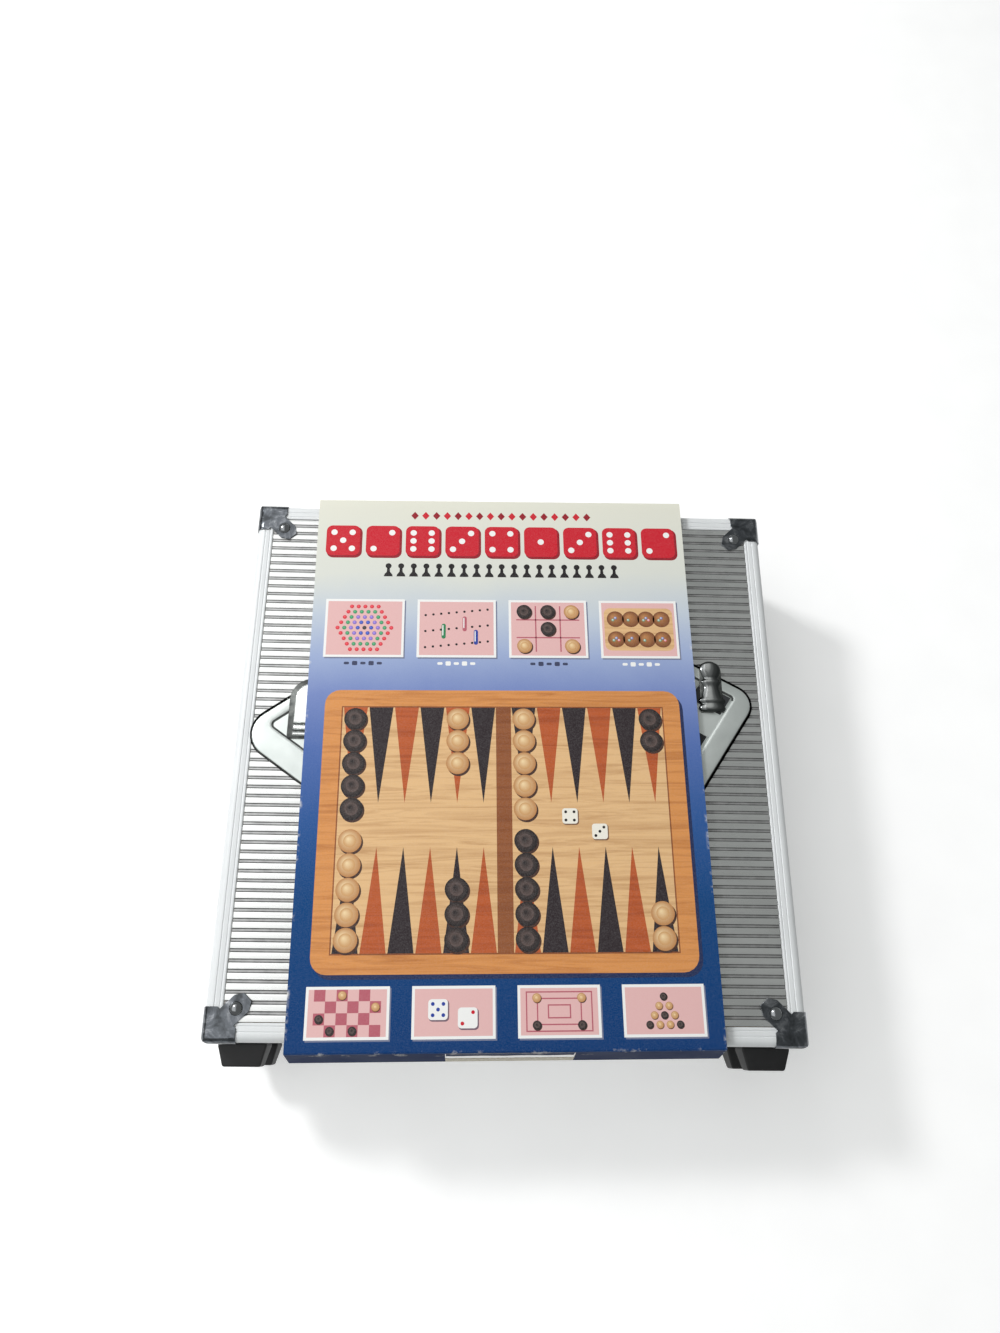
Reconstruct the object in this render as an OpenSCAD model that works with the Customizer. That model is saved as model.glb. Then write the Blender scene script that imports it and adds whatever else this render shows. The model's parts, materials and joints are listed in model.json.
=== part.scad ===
// Games compendium box: a square aluminium case with a hinged lid, a printed lid card,
// and the boards and playing pieces of a family games set inside.
// The base stands on z = 0 with its middle at the origin. The hinges face -Y, the handle +Y.

/* [Case] */
// Width and depth of the square case over its corner caps
case_side = 330; // [320:1:360]
// Height of the base from the ground to the parting line
base_h = 50; // [48:1:60]
// Height of the lid from the parting line to the corner caps
lid_h = 42; // [40:1:55]
// Gap between the closed lid and the base
parting_gap = 0.3; // [0.3:0.1:0.6]
// Thickness of the fibreboard walls
wall_t = 4; // [3:0.5:5]
// Thickness of the fibreboard top and bottom
board_t = 3; // [3:0.5:4]
// Thickness of the lining sheet
lining_t = 1.2; // [0.8:0.1:1.5]

/* [Aluminium] */
// Thickness of the aluminium profiles and side sheets
profile_t = 1.4; // [1.2:0.1:1.8]
// Width of an edge profile, measured from the case's outer face
profile_w = 11; // [10:0.5:13]
// Rounding of the case's edges, measured over the corner caps
edge_r = 5; // [4:0.5:6]
// Distance from one rib of the sheet to the next
rib_pitch = 5.43; // [4.5:0.01:7]
// Depth of the grooves between the ribs
groove_depth = 0.7; // [0.4:0.1:0.9]
// Width of a groove at the sheet's surface
groove_w = 1.5; // [1.2:0.1:2]
// Outer height of the rim profile at the parting line
rim_h = 8.4; // [7:0.2:10]
// Height of the base rim's locating lip
lip_h = 2; // [1.6:0.1:2.4]
// Thickness of the locating lip
lip_t = 1.5; // [1.2:0.1:2]

/* [Corner caps] */
// Thickness of the pressed steel caps
cap_t = 0.8; // [0.6:0.1:1]
// Reach of a cap along each edge
cap_leg = 19; // [17:0.5:22]
// Width of the diagonal tab that holds the rivet
tab_w = 12; // [11:0.5:14]
// Distance of the rivets from both edges of the case
rivet_inset = 18; // [17:0.5:19]
// Diameter of a rivet's head
rivet_head_d = 7.5; // [6.5:0.1:8]
// Height of the lid rivets' domes
rivet_dome_h = 2; // [1.5:0.1:2.5]
// Diameter of a rivet's shank
rivet_shank_d = 3.2; // [2.8:0.1:3.6]

/* [Feet] */
// Width of a foot where it meets the wall
foot_w = 27; // [24:1:30]
// Height of a foot where it meets the wall
foot_tall = 16; // [14:1:17]
// How far a foot stands out of the wall
foot_reach = 12.6; // [10:0.2:13]
// Distance of a foot's middle from the side of the case
foot_side = 18.5; // [18:0.5:23]
// Distance from the lid's top down to its feet
lid_foot_drop = 23; // [22:0.5:23]
// Height of the base's feet above the ground
base_foot_z = 19.5; // [19.5:0.1:20]

/* [Hinges] */
// Distance of a hinge's middle from the middle of the case
hinge_x = 80; // [70:1:95]
// Width of a hinge
hinge_w = 40; // [34:1:48]
// Height of each hinge leaf from the parting line
leaf_h = 15; // [13:1:17]
// Thickness of a hinge leaf
leaf_t = 1.2; // [1:0.1:1.5]
// Outer diameter of a hinge knuckle
knuckle_d = 6; // [5.5:0.1:6.5]
// Diameter of a hinge pin
hinge_pin_d = 3; // [2.6:0.1:3.4]
// Diameter of a leaf rivet's head
leaf_rivet_d = 5; // [4:0.1:5.4]
// Diameter of a leaf rivet's shank
leaf_shank_d = 2.5; // [2:0.1:3]
// Distance of the leaf rivets from the leaf's far edge
leaf_rivet_inset = 4; // [3.5:0.1:5]

/* [Latches] */
// Distance of a latch's middle from the middle of the case
latch_x = 100; // [95:1:108]
// Width of a latch lever
lever_w = 22; // [18:1:26]
// Thickness of a latch lever
lever_t = 2.5; // [2:0.1:3]
// Distance from the parting line down to the lever's pin
lever_pin_drop = 20; // [18:0.5:21]
// Distance of the lever's pin from the case wall
lever_pin_out = 5.8; // [5.8:0.1:6.5]
// Height of the lever's tip above the parting line
lever_tip_h = 16; // [14:0.5:17]
// Diameter of a lever's pin
lever_pin_d = 3; // [2.6:0.1:3.2]

/* [Handle] */
// Distance of a handle arm from the middle of the case
handle_x = 52; // [46:1:58]
// Distance from the parting line down to the handle's pins
handle_pin_drop = 16; // [14:0.5:17]
// Distance of the handle's pins from the case wall
handle_out = 8; // [7.5:0.1:9]
// Distance from the pins to the middle of the grip
handle_drop = 24; // [22:0.5:26]
// Diameter of the grip
grip_d = 10; // [9:0.2:11]
// Diameter of a handle pin
handle_pin_d = 4; // [3.6:0.1:4.4]

/* [Lid card] */
// Width of the printed card
card_w = 236; // [225:1:240]
// Distance of the card's creases from the case
card_end_gap = 3; // [3:0.5:10]
// Place of the card's middle across the case
card_x = -3.7; // [-6:0.1:6]
// Thickness of the card
card_t = 0.6; // [0.4:0.1:0.8]
// Depth of the near flap
near_flap = 21; // [18:0.5:22]
// Depth of the far flap
far_flap = 19; // [16:0.5:20]
// Outward lean of the near flap, in degrees
near_splay = 13; // [10:1:20]
// Turn of the card on the lid, in degrees
card_yaw = 1; // [0:0.1:1.2]
// Width of the hand hole in the near flap
hand_hole_w = 70; // [60:1:80]
// Depth of the hand hole
hand_hole_h = 12; // [10:0.5:13]

/* [Emblem] */
// Thickness of the emblem's plate
emblem_t = 2; // [1.6:0.1:2.4]
// Height of the emblem's raised border above the plate
emblem_rim_h = 1; // [0.6:0.1:1.2]
// Width of the emblem's border along its near left side
emblem_rim_near_left = 17.5; // [12:0.5:20]
// Width of the border along its near right side
emblem_rim_near_right = 13.3; // [10:0.1:16]
// Width of the border along its far right side
emblem_rim_far_right = 7.8; // [7:0.1:13]
// Width of the border along its far left side
emblem_rim_far_left = 8.4; // [7:0.1:13]
// Height of the emblem's raised squares above the plate
tile_h = 0.5; // [0.3:0.1:0.8]
// Height of the emblem's playing pieces above the plate
emblem_piece_h = 3.4; // [3:0.1:3.5]
// How far the emblem's sharp left corner stands in from the case's side
emblem_left = 0; // [0:0.5:10]
// How far its near corner stands in from the hinged side
emblem_near = 28; // [20:0.5:40]
// How far its right corner stands in from the case's side
emblem_right = 12; // [8:0.5:20]
// How far its far corner stands in from the handle's side
emblem_far = 43; // [30:0.5:50]
// Width of the pawn on the emblem
emblem_pawn_w = 18; // [16:0.5:20]
// Length of the pawn on the emblem
emblem_pawn_len = 27.4; // [25:0.2:30]
// Width of the king on the emblem
emblem_king_w = 34; // [28:0.5:38]
// Length of the king on the emblem
emblem_king_len = 92; // [80:0.5:100]
// Width of the tower on the emblem
emblem_tower_w = 27.4; // [24:0.2:30]
// Length of the tower on the emblem
emblem_tower_len = 38; // [34:0.5:40]

/* [Contents] */
// Height of the wooden insert tray
tray_h = 29; // [28:1:31]
// Thickness of the tray's sides
tray_side_t = 6; // [6:0.5:8]
// Thickness of the tray's floor
tray_floor_t = 2; // [1.5:0.5:3]
// Thickness of the tray's dividers
divider_t = 4; // [3:0.5:5]
// Gap between the wooden game boards and the lining
board_play = 4.6; // [3.8:0.1:5.2]
// Thickness of a game board
game_board_t = 9; // [7:0.5:9]
// Diameter of a draughtsman
draught_d = 28; // [24:1:30]
// Thickness of a draughtsman
draught_t = 6.5; // [5:0.5:7]
// Gap between the chess pieces in their compartment
chess_gap = 0.9; // [0.6:0.1:1.5]
// Length of a chess figure
figure_len = 44; // [38:1:48]
// Side of a die
die_side = 14; // [10:1:16]
// Diameter of a marble
marble_d = 14; // [12:0.5:15]
// Diameter of a counting stone
stone_d = 13; // [11:0.5:15]
// Length of a scoring peg
peg_len = 32; // [26:1:38]
// Diameter of a scoring peg's thick end
peg_d = 4.4; // [3.6:0.1:5]
// Width of a pack of cards
deck_w = 44; // [40:1:60]
// Length of a pack of cards
deck_len = 67; // [60:1:80]
// Height of a pack of cards
deck_h = 9; // [8:0.5:9]

/* [Hidden] */

fine = 48;                            // facets of a circle: all above 12 are true circles
half = case_side / 2;
skin_half = half - cap_t;             // outer face of the profiles and sheets
core_inset = cap_t + profile_t;       // outer face of the fibreboard, from the caps' face
core_half = half - core_inset;
room_half = core_half - wall_t;       // inner face of the walls
lined_half = room_half - lining_t;    // inner face of the lining
profile_half = half - profile_w;      // inner edge of the edge profiles
seam = 0.3;                           // gap round a sheet, and under a piece that rests
mitre_gap = 0.1;                      // how far a mitred bar stands back from the middle
sheet_half = profile_half - seam;
web_t = lip_h + 1.4;                  // thickness of the rim profile over the wall's edge
hinge_side_gap = 10;                  // the lip stops this far from the hinged wall's lining
rim_inner_h = web_t + 3.6;            // height of the rim profile's inner leg
lid_z = base_h + parting_gap;         // the lid's own parting face
case_top = lid_z + lid_h;
lid_face = case_top - cap_t;          // top of the lid's profiles and ribs
pin_fit = 0.05;                       // radial clearance of every pin and shank
past = 1;                             // how far a cut runs past the face it opens
rivet_at = half - rivet_inset;

hinge_y = -(skin_half + knuckle_d / 2 + 0.8);
hinge_z = base_h + parting_gap / 2;

foot_x = half - foot_side;
foot_tip = 0.78;                      // size of a foot's end, as a share of its root
web_low = 0.9;                        // gap between a knuckle's web and the pin's height
leaf_rivet_h = 1.2;

lever_pin_z = base_h - lever_pin_drop;
lever_y = skin_half + lever_pin_out;
lever_eye_d = lever_pin_d + 3.4;
lever_face_y = lever_y - 0.5;         // inner face of the lever's blade
catch_out = 3.8;                      // how far the catch's ridge stands out of the lid
catch_h = lever_tip_h - 8;            // height of the ridge's middle over the parting line
nose_y = skin_half + catch_out + seam;
catch_inset = 1;                      // how much narrower than the lever a catch is, each side
plate_t = 1.5;

handle_pin_z = base_h - handle_pin_drop;
handle_y = skin_half + handle_out;
arm_w = 7;
cheek_t = 1.5;                        // cheeks that carry the handle's and the levers' pins
cheek_r = 5;
cheek_gap = 0.25;
pin_end = 0.8;                        // how far a pin stands out of its cheeks
plate_reach = 9;                      // from a pin down to the end of its back plate
plate_wing = 4;                       // how far a bracket's plate reaches past its cheeks
plate_top_gap = 3;                    // from a latch plate up to the parting line
bracket_h = 16;

floor_z = core_inset + board_t + lining_t;   // top of the base's floor lining
tray_z = floor_z + seam;
tray_floor_z = tray_z + tray_floor_t;
tray_top = tray_z + tray_h;
tray_half = lined_half - 0.7;
cell_half_all = tray_half - tray_side_t;
cells = 3;
cell = (2 * cell_half_all - (cells - 1) * divider_t) / cells;
cell_pitch = cell + divider_t;
rest_z = tray_floor_z + seam;         // where the loose pieces lie
loose_gap = 0.6;                      // least gap between loose pieces of one kind

game_board_side = 2 * (lined_half - board_play);
chess_row = 7;                        // figures side by side in a compartment
chess_d = cell / chess_row - chess_gap;
pawn_len = (cell - figure_len - 4 * chess_gap) / 2;

// The emblem's board seen at an angle: its sharp corners, left, near, right and far.
emblem_corners = [[emblem_left - half, 7.4], [39, emblem_near - half],
                  [half - emblem_right, 35.4], [-6, half - emblem_far]];
emblem_rounding = [15, 14, 12, 16];
emblem_rims = [emblem_rim_near_left, emblem_rim_near_right, emblem_rim_far_right,
               emblem_rim_far_left];
pawn_back = [29, 4];                  // from the right corner in to the pawn's foot
tower_back = [45.7, -2.9];            // from the left corner in to the tower's foot
king_back = [-10.5, -20.5];           // from the middle of the near and far corners
low_relief = 0.62;                    // height of a figure's body, as a share of its head's
tiles = [8, 9];                       // the field's squares, along its near left and right

card_len = case_side + 2 * card_end_gap;
card_z = lid_face + emblem_t + emblem_piece_h + seam;

// ---------- shared shapes ----------

// A square outline with round corners.
module round_square(side, r) {
    square([side - 2 * r, side], center = true);
    square([side, side - 2 * r], center = true);
    for (x = [-1, 1], y = [-1, 1])
        translate([x, y] * (side / 2 - r)) circle(r, $fn = fine);
}

// The side view of a shell: open at the bottom, round at its two upper corners.
module arch(w, h, r) {
    translate([-w / 2, -past]) square([w, h - r + past]);
    translate([-w / 2 + r, -past]) square([w - 2 * r, h + past]);
    for (x = [-1, 1]) translate([x * (w / 2 - r), h - r]) circle(r, $fn = fine);
}

// A shell of the case as a full block. Its parting face lies on z = 0 and its outer face up.
module block(inset, h) {
    w = case_side - 2 * inset;
    r = edge_r - inset;
    intersection() {
        linear_extrude(h) round_square(w, r);
        rotate([90, 0, 0]) linear_extrude(w + 2 * past, center = true) arch(w, h - inset, r);
        rotate([90, 0, 90]) linear_extrude(w + 2 * past, center = true) arch(w, h - inset, r);
    }
}

module square_bar(half_side, z0, z1) {
    translate([-half_side, -half_side, z0]) cube([2 * half_side, 2 * half_side, z1 - z0]);
}

// The quarter of the plan that belongs to one wall, cut at the mitres.
module wall_quarter(i, h) {
    reach = case_side;
    rotate(90 * i) translate([0, 0, -h]) linear_extrude(3 * h)
        polygon([[mitre_gap, 0], [reach, mitre_gap - reach], [reach, reach - mitre_gap]]);
}

module four_mitred(h) {
    for (i = [0:3]) intersection() {
        children();
        wall_quarter(i, h);
    }
}

module at_corners(distance) {
    for (i = [0:3]) rotate(90 * i) translate([distance, distance, 0]) children();
}

// Places a lid or base part that was drawn with its parting face on z = 0.
module in_lid() { translate([0, 0, lid_z]) children(); }
module in_base() { translate([0, 0, base_h]) mirror([0, 0, 1]) children(); }

// A ribbed sheet's section: ribs with narrow grooves between them, a rib in the middle.
module ribbed_section(length, thick, margin) {
    count = floor((length / 2 - margin) / rib_pitch + 0.5);
    lower = groove_w / 4;
    grooves = [for (k = [-count : count - 1])
        let (x = (k + 0.5) * rib_pitch)
        each [[x - groove_w / 2, thick], [x - lower, thick - groove_depth],
              [x + lower, thick - groove_depth], [x + groove_w / 2, thick]]];
    polygon(concat([[-length / 2, 0], [-length / 2, thick]], grooves,
                   [[length / 2, thick], [length / 2, 0]]));
}

// ---------- shell parts, drawn for a shell of height h ----------

module rivet_holes(z0, z1) {
    at_corners(rivet_at) translate([0, 0, z0])
        cylinder(h = z1 - z0, d = rivet_shank_d + 2 * pin_fit, $fn = fine);
}

module face_board(h) {
    difference() {
        intersection() {
            block(core_inset, h);
            square_bar(half, h - core_inset - board_t, h);
        }
        rivet_holes(h / 2, h);
    }
}

module wall_boards(h) {
    four_mitred(h) difference() {
        block(core_inset, h);
        square_bar(room_half, -past, h);
        square_bar(half, -past, web_t);
        square_bar(half, h - core_inset - board_t, h);
    }
}

// The sheet on a shell's outer face, from the fibreboard outwards.
module face_sheet(h, thick) {
    inner = h - core_inset;
    difference() {
        translate([0, 0, inner]) rotate([90, 0, 90])
            linear_extrude(2 * sheet_half, center = true)
                ribbed_section(2 * sheet_half, thick, rib_pitch / 2);
        rivet_holes(inner - past, h + past);
    }
}

module side_sheets(h) {
    z0 = rim_h + seam;
    z1 = h - profile_w - seam;
    for (i = [0:3]) rotate(90 * i)
        translate([core_half, 0, (z0 + z1) / 2])
            rotate([90, 0, 0]) rotate(-90) mirror([1, 0])
                linear_extrude(2 * sheet_half, center = true)
                    ribbed_section(z1 - z0, profile_t, rib_pitch / 2);
}

module edge_profiles(h) {
    line_w = 0.6;
    line_depth = 0.35;
    four_mitred(h) difference() {
        block(cap_t, h);
        block(core_inset, h);
        square_bar(profile_half, -past, h + past);
        square_bar(half, -past, h - profile_w);
        for (at = [profile_half + 2.2, half - edge_r - 0.8]) difference() {
            square_bar(at + line_w, h - cap_t - line_depth, h);
            square_bar(at, h - 2, h + past);
        }
    }
}

module corner_posts(h) {
    difference() {
        intersection() {
            block(cap_t, h);
            at_corners(profile_half) translate([0, 0, rim_h]) cube([half, half, h - profile_w - rim_h]);
        }
        block(core_inset, h);
    }
}

module round_bar(half_side, r, z0, z1) {
    translate([0, 0, z0]) linear_extrude(z1 - z0) round_square(2 * half_side, r);
}

// lip adds the base's locating lip on three sides, and rebate cuts the lid's seat for it.
module rim_profiles(lip, rebate) {
    inner = lined_half;
    four_mitred(rim_h + lip_h) difference() {
        union() {
            difference() {
                round_bar(skin_half, edge_r - cap_t, 0, rim_h);
                round_bar(core_half, edge_r - core_inset, web_t, rim_h + past);
            }
            square_bar(room_half, 0, rim_inner_h);
            if (lip) difference() {
                square_bar(inner + lip_t, -lip_h, past);
                translate([-half, -half, -2 * lip_h])
                    cube([2 * half, half - inner + hinge_side_gap, 2 * lip_h]);
            }
        }
        square_bar(inner, -lip_h - past, rim_h + rim_inner_h);
        if (rebate) square_bar(inner + lip_t + seam, -past, lip_h);
    }
}

// One corner cap's outline in a face: two legs along the edges, with slanting ends.
module leg_outline(w) {
    cut = 3;
    polygon([[past, past], [-cap_leg, past], [-cap_leg, -w + cut], [-cap_leg + cut, -w],
             [-w, -w], [-w, -cap_leg + cut], [-w + cut, -cap_leg], [past, -cap_leg]]);
}

module tab_outline() {
    reach = (rivet_inset + 6) * sqrt(2);
    cut = 4.5;
    rotate(225) polygon([[2, -tab_w / 2], [reach - cut, -tab_w / 2], [reach, -tab_w / 2 + 3],
                         [reach, tab_w / 2 - 3], [reach - cut, tab_w / 2], [2, tab_w / 2]]);
}

module corner_caps(h, flush) {
    difference() {
        intersection() {
            block(0, h);
            at_corners(half) union() {
                translate([0, 0, h - edge_r]) linear_extrude(edge_r + past) {
                    leg_outline(profile_w);
                    tab_outline();
                }
                for (m = [0, 1]) mirror([m, -m, 0])
                    translate([-edge_r, 0, h]) rotate([90, 0, 90])
                        linear_extrude(edge_r + past) leg_outline(profile_w + 2);
            }
        }
        block(cap_t, h);
        rivet_holes(h - cap_t - past, h + past);
        if (flush) at_corners(rivet_at) translate([0, 0, h - cap_t]) flush_head(pin_fit);
    }
}

// A countersunk rivet head that fills a cap's thickness.
module flush_head(grow) {
    cylinder(h = cap_t, r1 = rivet_shank_d / 2 + grow, r2 = rivet_head_d / 2 + grow, $fn = fine);
}

module cap_tabs(h, grow) {
    intersection() {
        at_corners(half) translate([0, 0, h - cap_t]) linear_extrude(cap_t + past)
            offset(delta = grow) tab_outline();
        square_bar(sheet_half + past, 0, h + past);
    }
}

module dome(d, h) {
    r = (d * d / 4 + h * h) / (2 * h);
    intersection() {
        translate([0, 0, h - r]) sphere(r, $fn = fine);
        cylinder(h = h + past, d = d + 2, $fn = fine);
    }
}

module lining(h) {
    top = h - core_inset - board_t;
    square_bar(room_half, top - lining_t, top);
    four_mitred(h) difference() {
        square_bar(room_half, rim_inner_h, top - lining_t - mitre_gap);
        square_bar(lined_half, 0, h);
    }
}

// Two tapered feet on the hinged wall, with their middle at height z.
module feet(z) {
    for (x = [-1, 1]) translate([x * foot_x, -skin_half, z]) hull() {
        translate([-foot_w / 2, -2, -foot_tall / 2]) cube([foot_w, 2, foot_tall]);
        translate([-foot_w * foot_tip / 2, -foot_reach, -foot_tall * foot_tip / 2])
            cube([foot_w * foot_tip, 1, foot_tall * foot_tip]);
    }
}

// ---------- base ----------

module base_floor_board() { color("saddlebrown") in_base() face_board(base_h); }
module base_wall_boards() { color("saddlebrown") in_base() wall_boards(base_h); }

// The bottom sheet stands proud of its profiles, so the case rests on its ribs.
module base_bottom_sheet() {
    color("silver") difference() {
        in_base() face_sheet(base_h, core_inset);
        in_base() cap_tabs(base_h, seam);
    }
}

module base_side_sheets() { color("silver") in_base() side_sheets(base_h); }
module base_edge_profiles() { color("lightsteelblue") in_base() edge_profiles(base_h); }
module base_corner_posts() { color("lightsteelblue") in_base() corner_posts(base_h); }
module base_rim_profiles() { color("lightsteelblue") in_base() rim_profiles(true, false); }
module base_corner_caps() { color("gray") in_base() corner_caps(base_h, true); }

module base_rivets() {
    color("gainsboro") in_base() at_corners(rivet_at) {
        translate([0, 0, base_h - cap_t]) flush_head(0);
        translate([0, 0, base_h - core_inset - board_t])
            cylinder(h = core_inset + board_t, d = rivet_shank_d, $fn = fine);
    }
}

module base_lining() { color("darkslategray") in_base() lining(base_h); }
module base_feet() { color("black") feet(base_foot_z + foot_tall / 2); }

// A knuckle and the web that joins it to its leaf.
module hinge_knuckle(x0, x1, up) {
    translate([x0, hinge_y, hinge_z]) rotate([0, 90, 0])
        cylinder(h = x1 - x0, d = knuckle_d, $fn = fine);
    translate([x0, hinge_y, hinge_z + (up ? web_low : -knuckle_d / 2)])
        cube([x1 - x0, -skin_half - hinge_y, knuckle_d / 2 - web_low]);
}

// One leaf: a plate on the wall and its knuckles. The base has the two outer knuckles.
module hinge_leaves(up) {
    third = hinge_w / 3;
    play = 0.3;
    edge = knuckle_d / 2 - web_low;
    for (x = [-hinge_x, hinge_x]) difference() {
        union() {
            translate([x - hinge_w / 2, -skin_half - leaf_t, up ? hinge_z + edge : hinge_z - leaf_h])
                cube([hinge_w, leaf_t, leaf_h - edge]);
            if (up) hinge_knuckle(x - third / 2 + play, x + third / 2 - play, true);
            else for (s = [-1, 1])
                hinge_knuckle(min(x + s * third / 2, x + s * hinge_w / 2),
                              max(x + s * third / 2, x + s * hinge_w / 2), false);
        }
        translate([x - hinge_w, hinge_y, hinge_z]) rotate([0, 90, 0])
            cylinder(h = 2 * hinge_w, d = hinge_pin_d + 2 * pin_fit, $fn = fine);
        leaf_rivet_places(x, up) rotate([-90, 0, 0])
            cylinder(h = 4 * leaf_t, d = leaf_shank_d + 2 * pin_fit, center = true, $fn = fine);
    }
}

module leaf_rivet_places(x, up) {
    for (s = [-1, 1])
        translate([x + s * hinge_w / 3, -skin_half - leaf_t,
                   hinge_z + (up ? 1 : -1) * (leaf_h - leaf_rivet_inset)]) children();
}

module leaf_rivets(up) {
    for (x = [-hinge_x, hinge_x]) leaf_rivet_places(x, up) {
        rotate([90, 0, 0]) dome(leaf_rivet_d, leaf_rivet_h);
        rotate([-90, 0, 0]) cylinder(h = leaf_t, d = leaf_shank_d, $fn = fine);
    }
}

module lower_hinge_leaves() { color("silver") hinge_leaves(false); }
module lower_hinge_rivets() { color("gainsboro") leaf_rivets(false); }

module hinge_pins() {
    color("dimgray") for (x = [-hinge_x, hinge_x])
        translate([x - hinge_w / 2, hinge_y, hinge_z]) rotate([0, 90, 0])
            cylinder(h = hinge_w, d = hinge_pin_d, $fn = fine);
}

module at_latches() { for (x = [-latch_x, latch_x]) translate([x, 0, 0]) children(); }

// Back plate with two ears that carry the lever's pin.
module latch_plates() {
    inner = lever_w / 2 + cheek_gap;
    low = lever_pin_z - plate_reach;
    color("silver") at_latches() difference() {
        union() {
            translate([-inner - cheek_t, skin_half, low])
                cube([2 * (inner + cheek_t), plate_t, base_h - plate_top_gap - low]);
            for (m = [0, 1]) mirror([m, 0, 0]) translate([inner, skin_half, lever_pin_z])
                rotate([90, 0, 90]) linear_extrude(cheek_t) {
                    translate([0, -cheek_r]) square([lever_pin_out, 2 * cheek_r]);
                    translate([lever_pin_out, 0]) circle(lever_eye_d / 2, $fn = fine);
                }
        }
        translate([-lever_w, lever_y, lever_pin_z]) rotate([0, 90, 0])
            cylinder(h = 2 * lever_w, d = lever_pin_d + 2 * pin_fit, $fn = fine);
    }
}

module latch_pins() {
    reach = lever_w / 2 + cheek_gap + cheek_t + pin_end;
    color("dimgray") at_latches() translate([-reach, lever_y, lever_pin_z]) rotate([0, 90, 0])
        cylinder(h = 2 * reach, d = lever_pin_d, $fn = fine);
}

// Clevis brackets: a plate on the wall and two cheeks round each handle arm.
module handle_brackets() {
    gap = arm_w / 2 + cheek_gap;
    outer = gap + cheek_t;
    color("silver") for (x = [-handle_x, handle_x]) translate([x, 0, 0]) difference() {
        union() {
            translate([-outer - plate_wing, skin_half, handle_pin_z - plate_reach])
                cube([2 * (outer + plate_wing), plate_t, bracket_h]);
            for (m = [0, 1]) mirror([m, 0, 0]) translate([gap, skin_half, handle_pin_z])
                rotate([90, 0, 90]) linear_extrude(cheek_t) {
                    translate([0, -cheek_r]) square([handle_out, 2 * cheek_r]);
                    translate([handle_out, 0]) circle(cheek_r, $fn = fine);
                }
        }
        translate([-arm_w * 2, handle_y, handle_pin_z]) rotate([0, 90, 0])
            cylinder(h = arm_w * 4, d = handle_pin_d + 2 * pin_fit, $fn = fine);
    }
}

module handle_pins() {
    reach = arm_w / 2 + cheek_gap + cheek_t + pin_end;
    color("dimgray") for (x = [-handle_x, handle_x])
        translate([x - reach, handle_y, handle_pin_z]) rotate([0, 90, 0])
            cylinder(h = 2 * reach, d = handle_pin_d, $fn = fine);
}

// ---------- moving parts on the base ----------

module latch_lever(x) {
    tip_z = base_h + lever_tip_h;
    blade_h = tip_z - lever_pin_z;
    nose_h = 4;
    translate([x, 0, 0]) difference() {
        union() {
            translate([-lever_w / 2, lever_y, lever_pin_z]) rotate([0, 90, 0])
                cylinder(h = lever_w, d = lever_eye_d, $fn = fine);
            translate([-lever_w / 2, lever_face_y, lever_pin_z])
                cube([lever_w, lever_t, blade_h]);
            translate([-lever_w / 2, nose_y, tip_z - nose_h])
                cube([lever_w, lever_face_y - nose_y + 1, nose_h]);
            translate([-lever_w / 4, lever_face_y + lever_t, tip_z - 3]) rotate([0, 90, 0])
                cylinder(h = lever_w / 2, d = 3, $fn = fine);
        }
        translate([-lever_w, lever_y, lever_pin_z]) rotate([0, 90, 0])
            cylinder(h = 2 * lever_w, d = lever_pin_d + 2 * pin_fit, $fn = fine);
    }
}

module left_latch_lever() { color("gainsboro") latch_lever(-latch_x); }
module right_latch_lever() { color("gainsboro") latch_lever(latch_x); }

// A bail: eyes on the pins, two arms and a round grip. It hangs down against the wall.
module handle_grip() {
    eye_d = handle_pin_d + 5;
    color("dimgray") difference() {
        union() {
            for (x = [-handle_x, handle_x]) translate([x - arm_w / 2, handle_y, handle_pin_z]) {
                rotate([0, 90, 0]) cylinder(h = arm_w, d = eye_d, $fn = fine);
                translate([0, -3.5, -handle_drop]) cube([arm_w, 7, handle_drop]);
            }
            translate([-handle_x - arm_w / 2, handle_y, handle_pin_z - handle_drop])
                rotate([0, 90, 0]) cylinder(h = 2 * handle_x + arm_w, d = grip_d, $fn = fine);
        }
        translate([-2 * handle_x, handle_y, handle_pin_z]) rotate([0, 90, 0])
            cylinder(h = 4 * handle_x, d = handle_pin_d + 2 * pin_fit, $fn = fine);
    }
}

// ---------- contents ----------

module tray_floor() {
    color("burlywood") square_bar(tray_half, tray_z, tray_floor_z);
}

module tray_sides() {
    color("burlywood") four_mitred(case_side) difference() {
        square_bar(tray_half, tray_floor_z, tray_top);
        square_bar(cell_half_all, tray_floor_z - past, tray_top + past);
    }
}

// Two long dividers, and six short ones that stand between them.
module tray_dividers() {
    tall = tray_h - tray_floor_t - 1;
    play = 0.2;
    color("burlywood") for (k = [-0.5, 0.5]) {
        translate([-cell_half_all + play, k * cell_pitch - divider_t / 2, tray_floor_z])
            cube([2 * (cell_half_all - play), divider_t, tall]);
        for (row = [-1:1])
            translate([k * cell_pitch - divider_t / 2, row * cell_pitch - cell / 2 + play, tray_floor_z])
                cube([divider_t, cell - 2 * play, tall]);
    }
}

module in_cell(column, row) {
    translate([column * cell_pitch - cell / 2, row * cell_pitch - cell / 2, rest_z]) children();
}

// Spreads pieces of one size evenly over a compartment, and the rest in layers above.
module spread_out(count, size, layer_h) {
    across = floor(cell / (size + loose_gap));
    pitch = cell / across;
    for (k = [0 : count - 1]) {
        place = k % (across * across);
        translate([(place % across + 0.5) * pitch, (floor(place / across) + 0.5) * pitch,
                   floor(k / (across * across)) * layer_h]) children();
    }
}

module game_board(level) {
    z = tray_top + seam + level * (game_board_t + seam);
    translate([0, 0, z]) linear_extrude(game_board_t) round_square(game_board_side, 8);
}

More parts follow.
